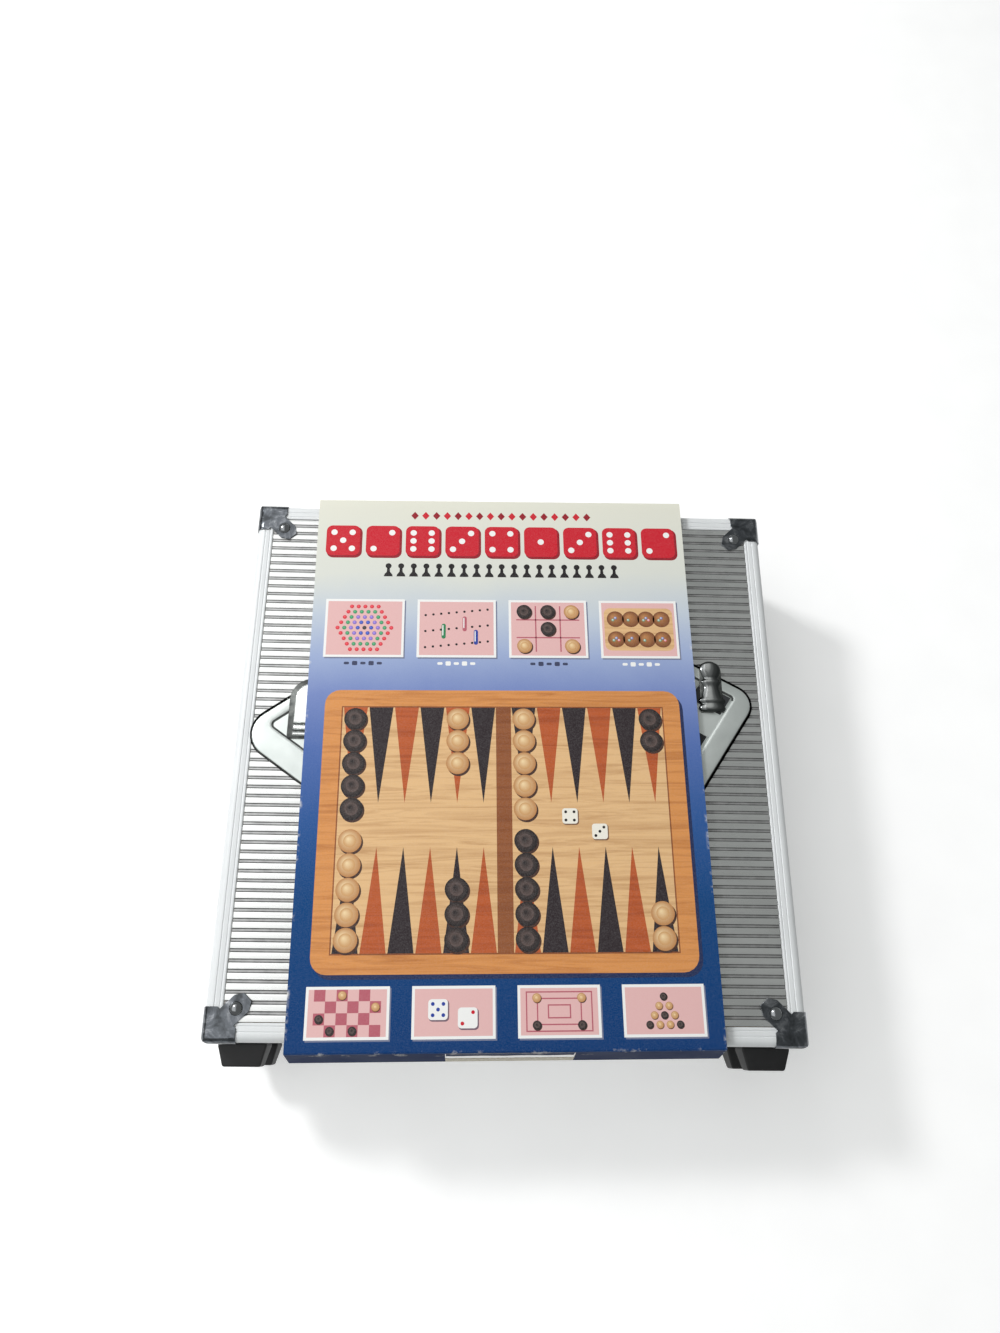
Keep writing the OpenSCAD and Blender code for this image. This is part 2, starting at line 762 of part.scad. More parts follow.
module scoring_board() {
    hole_rows = 4;
    holes = 30;
    hole_pitch = 8;
    row_pitch = 9;
    hole_d = 3;
    hole_depth = 4;
    z = tray_top + seam;
    color("peru") difference() {
        game_board(0);
        for (row = [0 : hole_rows - 1], k = [0 : holes - 1])
            translate([(k - (holes - 1) / 2) * hole_pitch, game_board_side / 5 + row * row_pitch,
                       z + game_board_t - hole_depth])
                cylinder(h = hole_depth + past, d = hole_d, $fn = fine);
    }
}

module star_board() { color("tan") game_board(1); }
module race_board() { color("sienna") game_board(2); }

// The top board: a wooden rim round a field of squares that lies 0.6 lower.
module chess_board() {
    rim_w = 19;
    color("burlywood") difference() {
        game_board(3);
        square_bar(game_board_side / 2 - rim_w, tray_top + 4 * (game_board_t + seam) - 0.6, case_top);
    }
}

// A lying chess piece, foot towards -Y: foot, waist, collar and head on one axis.
module lying_piece(length, head) {
    r = chess_d / 2;
    translate([0, 0, r]) rotate([-90, 0, 0])
        rotate_extrude($fn = fine) polygon([
            [0, 0], [r, 0], [r, length * 0.08], [r * 0.8, length * 0.16], [r * 0.42, length * 0.32],
            [r * 0.34, length * 0.6], [r * 0.62, length * 0.66], [r * 0.36, length * 0.7],
            [r * head, length * 0.82], [r * head * 0.9, length * 0.94], [r * 0.2, length], [0, length]]);
}

// Seven figures in the near row; the eighth and the pawns lie beyond them.
module chess_pieces(column, row) {
    pitch = chess_d + chess_gap;
    second_row = figure_len + 2 * chess_gap;
    in_cell(column, row) {
        for (k = [0 : chess_row - 1]) translate([(k + 0.5) * pitch, chess_gap, 0])
            lying_piece(figure_len, k < 3 ? 0.6 : 0.75);
        translate([pitch / 2, second_row, 0]) lying_piece(figure_len, 0.7);
        for (k = [1:4], step = [0:1])
            translate([(k + 0.5) * pitch, second_row + step * (pawn_len + chess_gap), 0])
                lying_piece(pawn_len, 0.55);
    }
}

module light_chess_pieces() { color("wheat") chess_pieces(-1, -1); }
module dark_chess_pieces() { color("black") chess_pieces(0, -1); }

// Fifteen discs in two layers, with a turned ring in each face.
module draughts(column, row) {
    ring_depth = 0.8;
    in_cell(column, row) spread_out(15, draught_d, draught_t + seam) difference() {
        cylinder(h = draught_t, d = draught_d, $fn = fine);
        translate([0, 0, draught_t - ring_depth])
            cylinder(h = ring_depth + past, d = draught_d * 0.6, $fn = fine);
    }
}

module light_draughts() { color("wheat") draughts(-1, 0); }
module dark_draughts() { color("black") draughts(0, 0); }

// The dice fill the near rows of the compartment that they share with the pegs.
module dice() {
    color("white") in_cell(1, -1) spread_out(5, die_side + 2 * loose_gap, die_side)
        translate([-die_side / 2, -die_side / 2, 0]) cube(die_side);
}

module scoring_pegs() {
    pegs = 6;
    tip = 0.55;                       // thickness of a peg's tip, as a share of its thick end
    color("crimson") in_cell(1, -1) for (k = [0 : pegs - 1])
        translate([(k + 0.5) * cell / pegs, cell / 2, peg_d / 2]) rotate([-90, 0, 0])
            cylinder(h = peg_len, d1 = peg_d, d2 = peg_d * tip, $fn = fine);
}

module marbles() {
    color("royalblue") in_cell(-1, 1) spread_out(25, marble_d, marble_d)
        translate([0, 0, marble_d / 2]) sphere(d = marble_d, $fn = fine);
}

module counting_stones() {
    color("seagreen") in_cell(0, 1) spread_out(36, stone_d, stone_d) dome(stone_d, stone_d * 0.4);
}

module card_decks() {
    color("ivory") in_cell(1, 1) for (k = [0:1])
        translate([(cell - deck_w) / 2, (cell - deck_len) / 2, k * (deck_h + seam)])
            cube([deck_w, deck_len, deck_h]);
}

// ---------- lid ----------

module lid_top_board() { color("saddlebrown") in_lid() face_board(lid_h); }
module lid_wall_boards() { color("saddlebrown") in_lid() wall_boards(lid_h); }

module lid_top_sheet() {
    color("silver") in_lid() face_sheet(lid_h, profile_t);
}

module lid_side_sheets() { color("silver") in_lid() side_sheets(lid_h); }
module lid_edge_profiles() { color("lightsteelblue") in_lid() edge_profiles(lid_h); }
module lid_corner_posts() { color("lightsteelblue") in_lid() corner_posts(lid_h); }
module lid_rim_profiles() { color("lightsteelblue") in_lid() rim_profiles(false, true); }
module lid_corner_caps() { color("gray") in_lid() corner_caps(lid_h, false); }

module lid_rivets() {
    color("gainsboro") in_lid() at_corners(rivet_at) {
        translate([0, 0, lid_h]) dome(rivet_head_d, rivet_dome_h);
        translate([0, 0, lid_h - core_inset - board_t])
            cylinder(h = core_inset + board_t, d = rivet_shank_d, $fn = fine);
    }
}

module lid_lining() { color("darkslategray") in_lid() lining(lid_h); }
module lid_feet() { color("black") feet(case_top - lid_foot_drop - foot_tall / 2); }
module upper_hinge_leaves() { color("silver") hinge_leaves(true); }
module upper_hinge_rivets() { color("gainsboro") leaf_rivets(true); }

// A plate with a half-round ridge for the lever's nose to snap over.
module latch_catches() {
    ridge_r = catch_out - plate_t;
    z = base_h + catch_h;
    color("silver") at_latches() {
        translate([-lever_w / 2 + catch_inset, skin_half, lid_z + catch_inset])
            cube([lever_w - 2 * catch_inset, plate_t, catch_h + ridge_r + catch_inset]);
        translate([-lever_w / 2 + 2 * catch_inset, skin_half + plate_t, z]) rotate([0, 90, 0])
            difference() {
                cylinder(h = lever_w - 4 * catch_inset, r = ridge_r, $fn = fine);
                translate([-ridge_r * 2, -ridge_r * 4, -past])
                    cube([ridge_r * 4, ridge_r * 4, lever_w]);
            }
    }
}

// ---------- emblem ----------

function unit(v) = v / norm(v);

// The point inside corner i that lies before from the side that ends there, and after from
// the side that starts there.
function inner_point(i, before, after) =
    let (p = emblem_corners[i],
         a = unit(emblem_corners[(i + 1) % 4] - p),
         b = unit(emblem_corners[(i + 3) % 4] - p))
    p + (a * before + b * after) / sin(acos(a * b));

function field_corner(i) = inner_point(i, emblem_rims[(i + 3) % 4], emblem_rims[i]);

function turn_of(a, b) = a.x * b.y - a.y * b.x;

// A place on the board's field, with u and v from 0 to 1, in the board's own perspective.
function on_field(u, v) =
    let (c = [for (i = [0:3]) field_corner(i)],
         along = c[1] - c[2],
         across = c[3] - c[2],
         skew = c[0] - c[1] + c[2] - c[3],
         g = turn_of(skew, across) / turn_of(along, across),
         h = turn_of(along, skew) / turn_of(along, across))
    (c[0] + (c[1] * (1 + g) - c[0]) * u + (c[3] * (1 + h) - c[0]) * v) / (1 + g * u + h * v);

module field_outline() { polygon([for (i = [0:3]) field_corner(i)]); }

module emblem_outline() {
    hull() for (i = [0:3])
        translate(inner_point(i, emblem_rounding[i], emblem_rounding[i]))
            circle(emblem_rounding[i], $fn = 32);
}

// The border round the field, from the lid up to the emblem's own top.
module emblem_border() {
    difference() {
        linear_extrude(emblem_t + emblem_rim_h) emblem_outline();
        translate([0, 0, emblem_t]) linear_extrude(emblem_rim_h + past) field_outline();
    }
}

module emblem_plate() {
    margin = 0.08;                    // of a tile, as a share of its own size
    color("lightgray") translate([0, 0, lid_face]) {
        emblem_border();
        translate([0, 0, emblem_t - past / 2]) linear_extrude(tile_h + past / 2)
            for (i = [0 : tiles.x - 1], j = [0 : tiles.y - 1]) if ((i + j) % 2 == 1)
                polygon([for (c = [[0, 0], [1, 0], [1, 1], [0, 1]])
                    on_field((i + margin + c.x * (1 - 2 * margin)) / tiles.x,
                             (j + margin + c.y * (1 - 2 * margin)) / tiles.y)]);
    }
}

// A turned figure in low relief, foot at the origin: base disc, column, collar and round head.
module relief_figure(base_d, length, relief) {
    head_d = base_d * 0.74;
    column = base_d * 0.35;
    head_at = length - head_d / 2;
    linear_extrude(relief * low_relief) {
        translate([0, base_d * 0.2]) circle(base_d / 2, $fn = fine);
        polygon([[-base_d / 2, base_d * 0.2], [base_d / 2, base_d * 0.2],
                 [column, base_d * 0.6], [column, head_at],
                 [-column, head_at], [-column, base_d * 0.6]]);
        translate([-base_d * 0.4, head_at - head_d * 0.62]) square([base_d * 0.8, base_d * 0.17]);
    }
    translate([0, head_at]) dome(head_d, relief);
}

// A tower in low relief, foot at the origin: a wide foot, a straight body and a round top.
module relief_tower(relief) {
    body_w = emblem_tower_w * 0.97;
    foot_h = emblem_tower_w * 0.3;
    top_at = emblem_tower_len - emblem_tower_w / 2;
    linear_extrude(relief * low_relief) {
        translate([-emblem_tower_w / 2, 0]) square([emblem_tower_w, foot_h]);
        translate([-body_w / 2, 0]) square([body_w, top_at]);
    }
    translate([0, top_at]) dome(emblem_tower_w, relief);
}

// Relief playing pieces: a pawn at the right, a tower at the left, a king between them.
module emblem_pieces() {
    relief = emblem_piece_h - tile_h;
    color("darkgray") translate([0, 0, lid_face]) difference() {
        translate([0, 0, emblem_t + tile_h]) {
            translate(emblem_corners[2] - pawn_back)
                relief_figure(emblem_pawn_w, emblem_pawn_len, relief);
            translate((emblem_corners[1] + emblem_corners[3]) / 2 + king_back)
                relief_figure(emblem_king_w, emblem_king_len, relief);
            translate(emblem_corners[0] + tower_back) relief_tower(relief);
        }
        emblem_border();
    }
}

// ---------- lid card ----------

module lid_card() {
    near_edge = -card_len / 2;
    far_edge = card_len / 2;
    bend = card_t * (1 - sin(near_splay)) / cos(near_splay);
    hem = [near_edge - near_flap * sin(near_splay), card_t - near_flap * cos(near_splay)];
    hole_shift = 2;
    hole_drop = 2;
    color("royalblue") translate([card_x, 0, card_z]) rotate(card_yaw) difference() {
        translate([-card_w / 2, 0, 0]) rotate([90, 0, 90]) linear_extrude(card_w) polygon([
            [near_edge, card_t], [far_edge, card_t], [far_edge, card_t - far_flap],
            [far_edge - card_t, card_t - far_flap], [far_edge - card_t, 0], [near_edge + bend, 0],
            hem + card_t * [cos(near_splay), -sin(near_splay)], hem
        ]);
        translate([hole_shift - hand_hole_w / 2, near_edge, card_t]) rotate([-near_splay, 0, 0])
            translate([0, -past, -hand_hole_h - hole_drop])
                cube([hand_hole_w, card_t + 2 * past, hand_hole_h]);
    }
}

base_floor_board();
base_wall_boards();
base_bottom_sheet();
base_side_sheets();
base_edge_profiles();
base_corner_posts();
base_rim_profiles();
base_corner_caps();
base_rivets();
base_lining();
base_feet();
lower_hinge_leaves();
lower_hinge_rivets();
hinge_pins();
latch_plates();
latch_pins();
handle_brackets();
handle_pins();
tray_floor();
tray_sides();
tray_dividers();
chess_board();
race_board();
star_board();
scoring_board();
light_chess_pieces();
dark_chess_pieces();
light_draughts();
dark_draughts();
dice();
marbles();
counting_stones();
scoring_pegs();
card_decks();
lid_top_board();
lid_wall_boards();
lid_top_sheet();
lid_side_sheets();
lid_edge_profiles();
lid_corner_posts();
lid_rim_profiles();
lid_corner_caps();
lid_rivets();
lid_lining();
lid_feet();
upper_hinge_leaves();
upper_hinge_rivets();
latch_catches();
emblem_plate();
emblem_pieces();
lid_card();
left_latch_lever();
right_latch_lever();
handle_grip();
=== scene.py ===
"""Games compendium box: the looks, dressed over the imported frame. Metres, in the frame's axes."""

import json
import math
import random

import bmesh
import bpy
from mathutils import Matrix, Vector


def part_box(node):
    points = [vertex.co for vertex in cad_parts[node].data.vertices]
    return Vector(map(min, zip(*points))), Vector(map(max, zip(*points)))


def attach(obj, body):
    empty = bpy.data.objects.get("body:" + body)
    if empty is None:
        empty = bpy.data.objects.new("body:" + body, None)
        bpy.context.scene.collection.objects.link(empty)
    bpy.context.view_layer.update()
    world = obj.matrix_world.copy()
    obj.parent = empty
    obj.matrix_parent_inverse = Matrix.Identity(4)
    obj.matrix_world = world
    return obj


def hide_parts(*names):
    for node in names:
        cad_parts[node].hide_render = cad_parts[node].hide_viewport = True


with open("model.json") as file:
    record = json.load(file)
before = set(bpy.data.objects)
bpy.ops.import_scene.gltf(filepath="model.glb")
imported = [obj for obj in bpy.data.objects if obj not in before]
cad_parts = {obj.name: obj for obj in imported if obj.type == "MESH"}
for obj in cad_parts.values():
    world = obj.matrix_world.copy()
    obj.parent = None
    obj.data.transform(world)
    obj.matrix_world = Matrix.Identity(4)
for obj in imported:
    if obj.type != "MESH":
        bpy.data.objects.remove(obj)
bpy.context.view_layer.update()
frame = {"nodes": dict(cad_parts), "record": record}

MM = 0.001
NODES = frame["nodes"]
SLOT_OF = {part["node"]: part["material_slot"] for part in frame["record"]["subparts"]}

SHARP_ANGLE = math.radians(38)

# Heights and the half width that the frame gives.
CASE_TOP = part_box("lid_corner_caps")[1].z
LID_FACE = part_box("lid_edge_profiles")[1].z
SKIN_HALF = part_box("lid_edge_profiles")[1].x

# The lid card, with the part's sizes.
CARD_LIFT = 5.7 * MM
CARD_W = 236 * MM
CARD_LEN = 336 * MM
CARD_X = -3.7 * MM
CARD_YAW = math.radians(1.0)
CARD_T = 0.4 * MM  # with its print it fills the part's 0.6 mm
CARD_TOP = LID_FACE + CARD_LIFT + CARD_T
NEAR_FLAP = 21 * MM
FAR_FLAP = 19 * MM
NEAR_SPLAY = math.radians(13)
HAND_HOLE = (-33 * MM, 37 * MM)
FLAP_ROWS = 12
HOLE_ROWS = 7
TEAR_SEED = 11

# The emblem's board on the lid: left, near, right and far corner, and their rounding.
EMBLEM_CORNERS = [Vector(p) * MM for p in ((-165, 7.4), (39, -137), (153, 35.4), (-6, 122))]
EMBLEM_ROUNDING = [r * MM for r in (15, 14, 12, 16)]
LEAST_ROUNDING = 1.0 * MM
EMBLEM_BORDERS = [w * MM for w in (17.5, 13.3, 7.8, 8.4)]
EMBLEM_T = 2 * MM
EMBLEM_TILES = (8, 9)

# The ribbed sheet. Across half a groove and half a rib, in millimetres: place, height, and the finish
# up to the next point.
RIB_PITCH = 5.43 * MM
# Across a rib: plain metal on the rib, painted shade on the groove's walls and a lighter painted shade on its
# floor.
RIB, WALL, FLOOR = range(3)
HALF_RIB = [
    (0.0, -0.45, FLOOR), (0.5, -0.45, FLOOR), (0.58, -0.6, WALL), (0.74, -0.52, WALL),
    (0.98, -0.2, RIB), (1.35, -0.09, RIB), (1.95, -0.03, RIB), (2.715, 0.0, RIB),
]


def add_object(name, data):
    obj = bpy.data.objects.new(name, data)
    bpy.context.scene.collection.objects.link(obj)
    return obj


# ---- camera

def add_camera():
    """The photograph's viewpoint, fitted to the lid's four corners."""
    data = bpy.data.cameras.new("photo_camera")
    data.sensor_fit = "VERTICAL"
    data.sensor_height = 36
    data.lens = 25.85
    data.clip_start = 0.01
    camera = add_object("photo_camera", data)
    camera.location = (-24.70 * MM, -159.55 * MM, 552.44 * MM + CASE_TOP)
    camera.rotation_euler = (0.367887, -0.036680, 0.008132)
    bpy.context.scene.camera = camera


# ---- material nodes

class Shader:
    """A Principled material under construction, with short calls for the nodes used here."""

    def __init__(self, name, color=(0.8, 0.8, 0.8), metallic=0.0, roughness=0.5, **sockets):
        self.mat = bpy.data.materials.new(name)
        self.mat.use_nodes = True
        self.tree = self.mat.node_tree
        self.bsdf = next(n for n in self.tree.nodes if n.type == "BSDF_PRINCIPLED")
        self.paint(color)
        self.put("Metallic", metallic)
        self.put("Roughness", roughness)
        for key, value in sockets.items():
            self.put(key.replace("_", " "), value)
        self.coords = self.node("ShaderNodeTexCoord").outputs["Object"]

    def node(self, kind, inputs=None, **settings):
        """Adds a node with its settings, and fills its inputs by name or number."""
        made = self.tree.nodes.new(kind)
        for key, value in settings.items():
            setattr(made, key, value)
        for key, value in (inputs or {}).items():
            self.fill(made.inputs[key], value)
        return made

    def fill(self, socket, value):
        """Links an output into a socket, or sets it to a value. Colours come as three numbers."""
        if isinstance(value, bpy.types.NodeSocket):
            self.tree.links.new(value, socket)
        elif socket.type == "RGBA":
            socket.default_value = (*value, 1)
        else:
            socket.default_value = value

    def put(self, name, value):
        self.fill(self.bsdf.inputs[name], value)

    def paint(self, color):
        self.put("Base Color", color)

    def noise(self, scale, detail, rough, distortion=0.0, coords=None):
        inputs = {"Vector": coords or self.coords, "Scale": scale, "Detail": detail}
        inputs.update({"Roughness": rough, "Distortion": distortion})
        return self.node("ShaderNodeTexNoise", inputs).outputs["Fac"]

    def grain(self, scales, detail, rough, distortion=0.0, size=1.0):
        """A noise with a scale for each axis, so that it runs along one of them."""
        mapped = self.node("ShaderNodeMapping", {"Vector": self.coords, "Scale": scales})
        return self.noise(size, detail, rough, distortion, mapped.outputs["Vector"])

    def math(self, operation, a, b=0.0, clamp=False):
        return self.node("ShaderNodeMath", {0: a, 1: b}, operation=operation, use_clamp=clamp).outputs[0]

    def spread(self, value, low, high, to_low=0.0, to_high=1.0):
        """Maps a value's range low..high to to_low..to_high."""
        inputs = {"Value": value, "From Min": low, "From Max": high, "To Min": to_low, "To Max": to_high}
        return self.node("ShaderNodeMapRange", inputs).outputs[0]

    def ramp(self, value, stops):
        made = self.node("ShaderNodeValToRGB", {0: value})
        elements = made.color_ramp.elements
        while len(elements) < len(stops):
            elements.new(0.5)
        for element, (place, color) in zip(elements, stops):
            element.position = place
            element.color = (*color, 1)
        return made.outputs[0]

    def mix(self, factor, a, b, blend="MIX"):
        made = self.node("ShaderNodeMix", {"Factor": factor}, data_type="RGBA", blend_type=blend)
        colors = [socket for socket in made.inputs if socket.type == "RGBA"]
        for socket, value in zip(colors, (a, b)):
            self.fill(socket, value)
        return next(socket for socket in made.outputs if socket.type == "RGBA")

    def axis(self, name):
        return self.node("ShaderNodeSeparateXYZ", {0: self.coords}).outputs[name]

    def bump(self, height, strength, distance):
        inputs = {"Strength": strength, "Distance": distance, "Height": height}
        self.put("Normal", self.node("ShaderNodeBump", inputs).outputs[0])

    def tint(self, value, low, high, a, b, most=1.0):
        """Base colour: a where the value is low, and b, or most of the way to it, where it is high."""
        self.paint(self.mix(self.spread(value, low, high, 0.0, most), a, b))

    def gloss(self, value, low, high):
        """Roughness from low to high over the range that a noise really takes."""
        self.put("Roughness", self.spread(value, 0.3, 0.7, low, high))

    def mottle(self, scale, a, b, gloss=None, detail=4, rough=0.6, distortion=0.0):
        """Base colour in patches from a to b. gloss gives the roughness of both ends."""
        patches = self.noise(scale, detail, rough, distortion)
        self.paint(self.ramp(patches, [(0.3, a), (0.7, b)]))
        if gloss:
            self.gloss(patches, *gloss)
        return patches

    def scratch(self, gloss, dents):
        """Hairline scratches on top of a roughness, and dents of that strength."""
        scratches = self.grain((240.0, 2600.0, 900.0), 2, 0.7)
        self.put("Roughness", self.math("ADD", gloss, self.spread(scratches, 0.62, 0.75, 0.0, 0.12)))
        self.bump(self.noise(130.0, 3, 0.5), dents, 0.0012)


def srgb(r, g, b):
    """A colour given in 0..255 screen values, as linear light."""
    return tuple((c / 255 / 12.92) if c <= 10 else ((c / 255 + 0.055) / 1.055) ** 2.4 for c in (r, g, b))


def scaled(color, factor, lift=0.0):
    return tuple(c * factor + lift for c in color)


def drawn_out(scale, axis, ratio):
    """A texture's scale on three axes, drawn out along one of them."""
    return [scale / ratio if name == axis else scale for name in "xyz"]


# ---- materials

def drawn_metal(name, color, roughness, along, streak, metallic=1.0, **sockets):
    """Metal with fine lines along one axis, and broad, faint smudges in its gloss."""
    made = Shader(name, color, metallic, roughness, **sockets)
    grain, wear = 900.0, 0.06
    lines = made.grain(drawn_out(grain, along, 60), 3, 0.6)
    smudge = made.noise(22.0, 3, 0.55)
    clean = made.mix(made.spread(smudge, 0.35, 0.7), scaled(color, 0.93), color)
    made.tint(lines, 0.3, 0.7, clean, scaled(color, 0.8), streak)
    gloss = made.math("ADD", made.spread(smudge, 0.3, 0.7, -wear, wear), roughness)
    made.put("Roughness", made.math("ADD", gloss, made.spread(lines, 0.3, 0.7, -0.04, 0.05)))
    made.bump(lines, 0.06, 0.0002)
    return made.mat


def painted_shade_groove_metal(name, low, high):
    """The sheet's grooves: painted shade, mottled between two greys."""
    made = Shader(name, (high,) * 3, metallic=0.9)
    made.mottle(160.0, (low,) * 3, (high,) * 3)
    return made.mat


def plated_steel(name, color, roughness):
    """Bright plating with hairline scratches, finger marks and shallow dents."""
    made = Shader(name, color, metallic=1.0, roughness=roughness)
    marks = made.noise(55.0, 4, 0.6)
    made.tint(marks, 0.4, 0.7, color, scaled(color, 0.84))
    made.scratch(made.spread(marks, 0.35, 0.7, roughness - 0.03, roughness + 0.14), 0.05)
    return made.mat


def cap_steel():
    """Corner caps: cheap plating gone cloudy, with dark and bright blotches, hairlines and dents."""
    made = Shader("cap_steel", (0.2, 0.21, 0.23), metallic=1.0, roughness=0.18)
    blotches = made.noise(120.0, 5, 0.65, distortion=0.6)
    made.paint(made.ramp(blotches, [
        (0.36, (0.06, 0.065, 0.07)), (0.52, (0.13, 0.14, 0.155)), (0.68, (0.33, 0.34, 0.36))]))
    made.scratch(made.spread(blotches, 0.35, 0.7, 0.12, 0.3), 0.4)
    return made.mat


def plastic(name, color, roughness, grain=0.15):
    """Moulded plastic with a fine pebbled skin."""
    made = Shader(name, color, roughness=roughness)
    skin = made.noise(1400.0, 2, 0.5)
    wear = made.noise(40.0, 4, 0.6)
    made.tint(wear, 0.45, 0.75, color, scaled(color, 1.4, 0.01))
    made.gloss(wear, roughness - 0.06, roughness + 0.08)
    made.bump(skin, grain, 0.0002)
    return made.mat


def wood(name, light, dark, along="x", grain=60.0, roughness=0.38):
    """Lacquered wood: long growth bands, fine pores and a soft gloss."""
    made = Shader(name, light, roughness=roughness, Coat_Weight=0.25, Coat_Roughness=0.2)
    bands = made.grain(drawn_out(grain, along, 14), 5, 0.6, 0.8)
    pores = made.grain(drawn_out(grain * 14, along, 14), 2, 0.7)
    color = made.ramp(bands, [(0.3, dark), (0.5, light), (0.75, tuple(min(1, c * 1.12) for c in light))])
    made.tint(pores, 0.55, 0.8, color, dark, 0.45)
    made.gloss(bands, roughness - 0.05, roughness + 0.07)
    made.bump(pores, 0.08, 0.0003)
    return made.mat


def chequered_wood():
    """The top game board: inlaid light and dark squares inside a plain wooden rim."""
    made = Shader("inlaid_board", (0.75, 0.52, 0.3), roughness=0.34, Coat_Weight=0.3, Coat_Roughness=0.15)
    low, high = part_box("chess_board")
    squares_a_side, rim_w, line_gap, half_line = 8, 19 * MM, 2.5 * MM, 0.5 * MM
    field = high.x - low.x - 2 * rim_w
    square = field / squares_a_side
    x, y = made.axis("X"), made.axis("Y")
    ring = made.math("MAXIMUM", made.math("ABSOLUTE", x), made.math("ABSOLUTE", y))
    in_field = made.math("LESS_THAN", ring, field / 2)
    from_line = made.math("ABSOLUTE", made.math("SUBTRACT", ring, field / 2 + line_gap))
    in_line = made.math("LESS_THAN", from_line, half_line)
    # A square's parity comes from its column and row, so that no height of the board matters.
    column = made.math("FLOOR", made.math("DIVIDE", x, square))
    row = made.math("FLOOR", made.math("DIVIDE", y, square))
    odd = made.math("FLOORED_MODULO", made.math("ADD", column, row), 2.0)
    bands = made.grain((5.0, 70.0, 70.0), 5, 0.6, 0.6)
    light = made.ramp(bands, [
        (0.3, srgb(196, 145, 92)), (0.55, srgb(222, 178, 124)), (0.8, srgb(232, 196, 148))])
    dark = made.ramp(bands, [(0.3, srgb(34, 26, 26)), (0.8, srgb(58, 44, 40))])
    rim = made.ramp(bands, [(0.3, srgb(176, 112, 58)), (0.8, srgb(214, 152, 92))])
    color = made.mix(in_field, rim, made.mix(odd, light, dark))
    made.paint(made.mix(in_line, color, srgb(30, 24, 22)))
    made.gloss(bands, 0.28, 0.4)
    return made.mat


def cloth(name, color):
    """A short flocked pile."""
    made = Shader(name, color, roughness=0.95, Sheen_Weight=0.5, Sheen_Roughness=0.4)
    pile = made.noise(1600.0, 3, 0.7)
    made.tint(made.noise(26.0, 4, 0.6), 0.3, 0.7, scaled(color, 0.75), scaled(color, 1.5))
    made.bump(pile, 0.5, 0.0006)
    return made.mat


def fibreboard():
    made = Shader("fibreboard", (0.42, 0.3, 0.19), roughness=0.85)
    fibre = made.mottle(700.0, (0.27, 0.18, 0.11), (0.5, 0.37, 0.25), detail=5, rough=0.7)
    made.bump(fibre, 0.3, 0.0004)
    return made.mat


def glass(name, color, swirl):
    """Coloured glass with a darker twist inside."""
    made = Shader(name, color, roughness=0.06, Transmission_Weight=0.85, IOR=1.5)
    twist = made.noise(160.0, 3, 0.5, distortion=2.0)
    made.paint(made.ramp(twist, [(0.4, color), (0.6, swirl)]))
    return made.mat


def stacked_cards():
    """The side of a pack shows its layers."""
    made = Shader("stacked_cards", srgb(236, 232, 220), roughness=0.5)
    layers = made.grain((6.0, 6.0, 3400.0), 2, 0.6)
    made.paint(made.ramp(layers, [(0.35, srgb(196, 190, 176)), (0.6, srgb(240, 237, 228))]))
    made.bump(layers, 0.25, 0.0003)
    return made.mat


def emblem_plastic():
    """Silver-plated moulding: softer than the steel, with faint flow marks."""
    made = Shader("emblem_plating", (0.64, 0.68, 0.66), metallic=0.7, roughness=0.36)
    made.mottle(30.0, (0.56, 0.60, 0.58), (0.71, 0.75, 0.73), (0.3, 0.42), rough=0.5, distortion=0.4)
    made.bump(made.noise(500.0, 3, 0.5), 0.04, 0.0003)
    return made.mat


def relief_plating():
    """The emblem's tower and king: the same plating, polished."""
    made = Shader("relief_plating", (0.8, 0.82, 0.81), metallic=0.9, roughness=0.2)
    made.mottle(120.0, (0.7, 0.72, 0.71), (0.84, 0.86, 0.85), (0.14, 0.26))
    return made.mat


def chrome():
    """The emblem's pawn: polished chrome, with a painted highlight where it faces up and painted shade on its
    sides.
    """
    made = Shader("chrome_relief", (0.5, 0.5, 0.5), metallic=1.0, roughness=0.16)
    highlight_facing = (-0.12, 0.1, 0.988)
    normal = made.node("ShaderNodeTexCoord").outputs["Normal"]
    facing = made.node("ShaderNodeVectorMath", {0: normal, 1: highlight_facing}, operation="DOT_PRODUCT")
    # Painted highlight and shade: light where the surface faces up, a little left and back, dark where it
    # turns away.
    made.paint(made.ramp(facing.outputs["Value"], [
        (0.86, (0.05, 0.055, 0.055)), (0.955, (0.11, 0.115, 0.115)),
        (0.985, (0.32, 0.33, 0.33)), (0.999, (0.95, 0.96, 0.95))]))
    made.gloss(made.noise(160.0, 4, 0.6), 0.13, 0.22)
    return made.mat


def dark_square():
    """The emblem's dark squares: the plating is tinted and left smooth."""
    made = Shader("dark_square_plating", (0.035, 0.037, 0.04), metallic=0.5, roughness=0.4)
    made.mottle(70.0, (0.02, 0.022, 0.024), (0.055, 0.058, 0.062), (0.34, 0.46))
    return made.mat


def painted_shade_plating():
    """Painted shade on the plated parts: their steep sides and seams, the dark plates round the reliefs and
    the line round the emblem.
    """
    made = Shader("painted_shade_plating", (0.05, 0.055, 0.055), metallic=0.7, roughness=0.45)
    made.mottle(260.0, (0.03, 0.033, 0.033), (0.12, 0.125, 0.12))
    return made.mat


def edge_wear(made, half_x, half_y, reach):
    """1 where the card is scuffed: in patches along its sides and its two folds."""
    x = made.math("SUBTRACT", half_x, made.math("ABSOLUTE", made.axis("X")))
    y = made.math("ABSOLUTE", made.math("SUBTRACT", half_y, made.math("ABSOLUTE", made.axis("Y"))))
    near_edge = made.spread(made.math("MINIMUM", x, y), 0.0, reach, 1.0, 0.0)
    patches = made.spread(made.noise(90.0, 5, 0.7), 0.56, 0.72)
    return made.math("MULTIPLY", near_edge, patches, clamp=True)


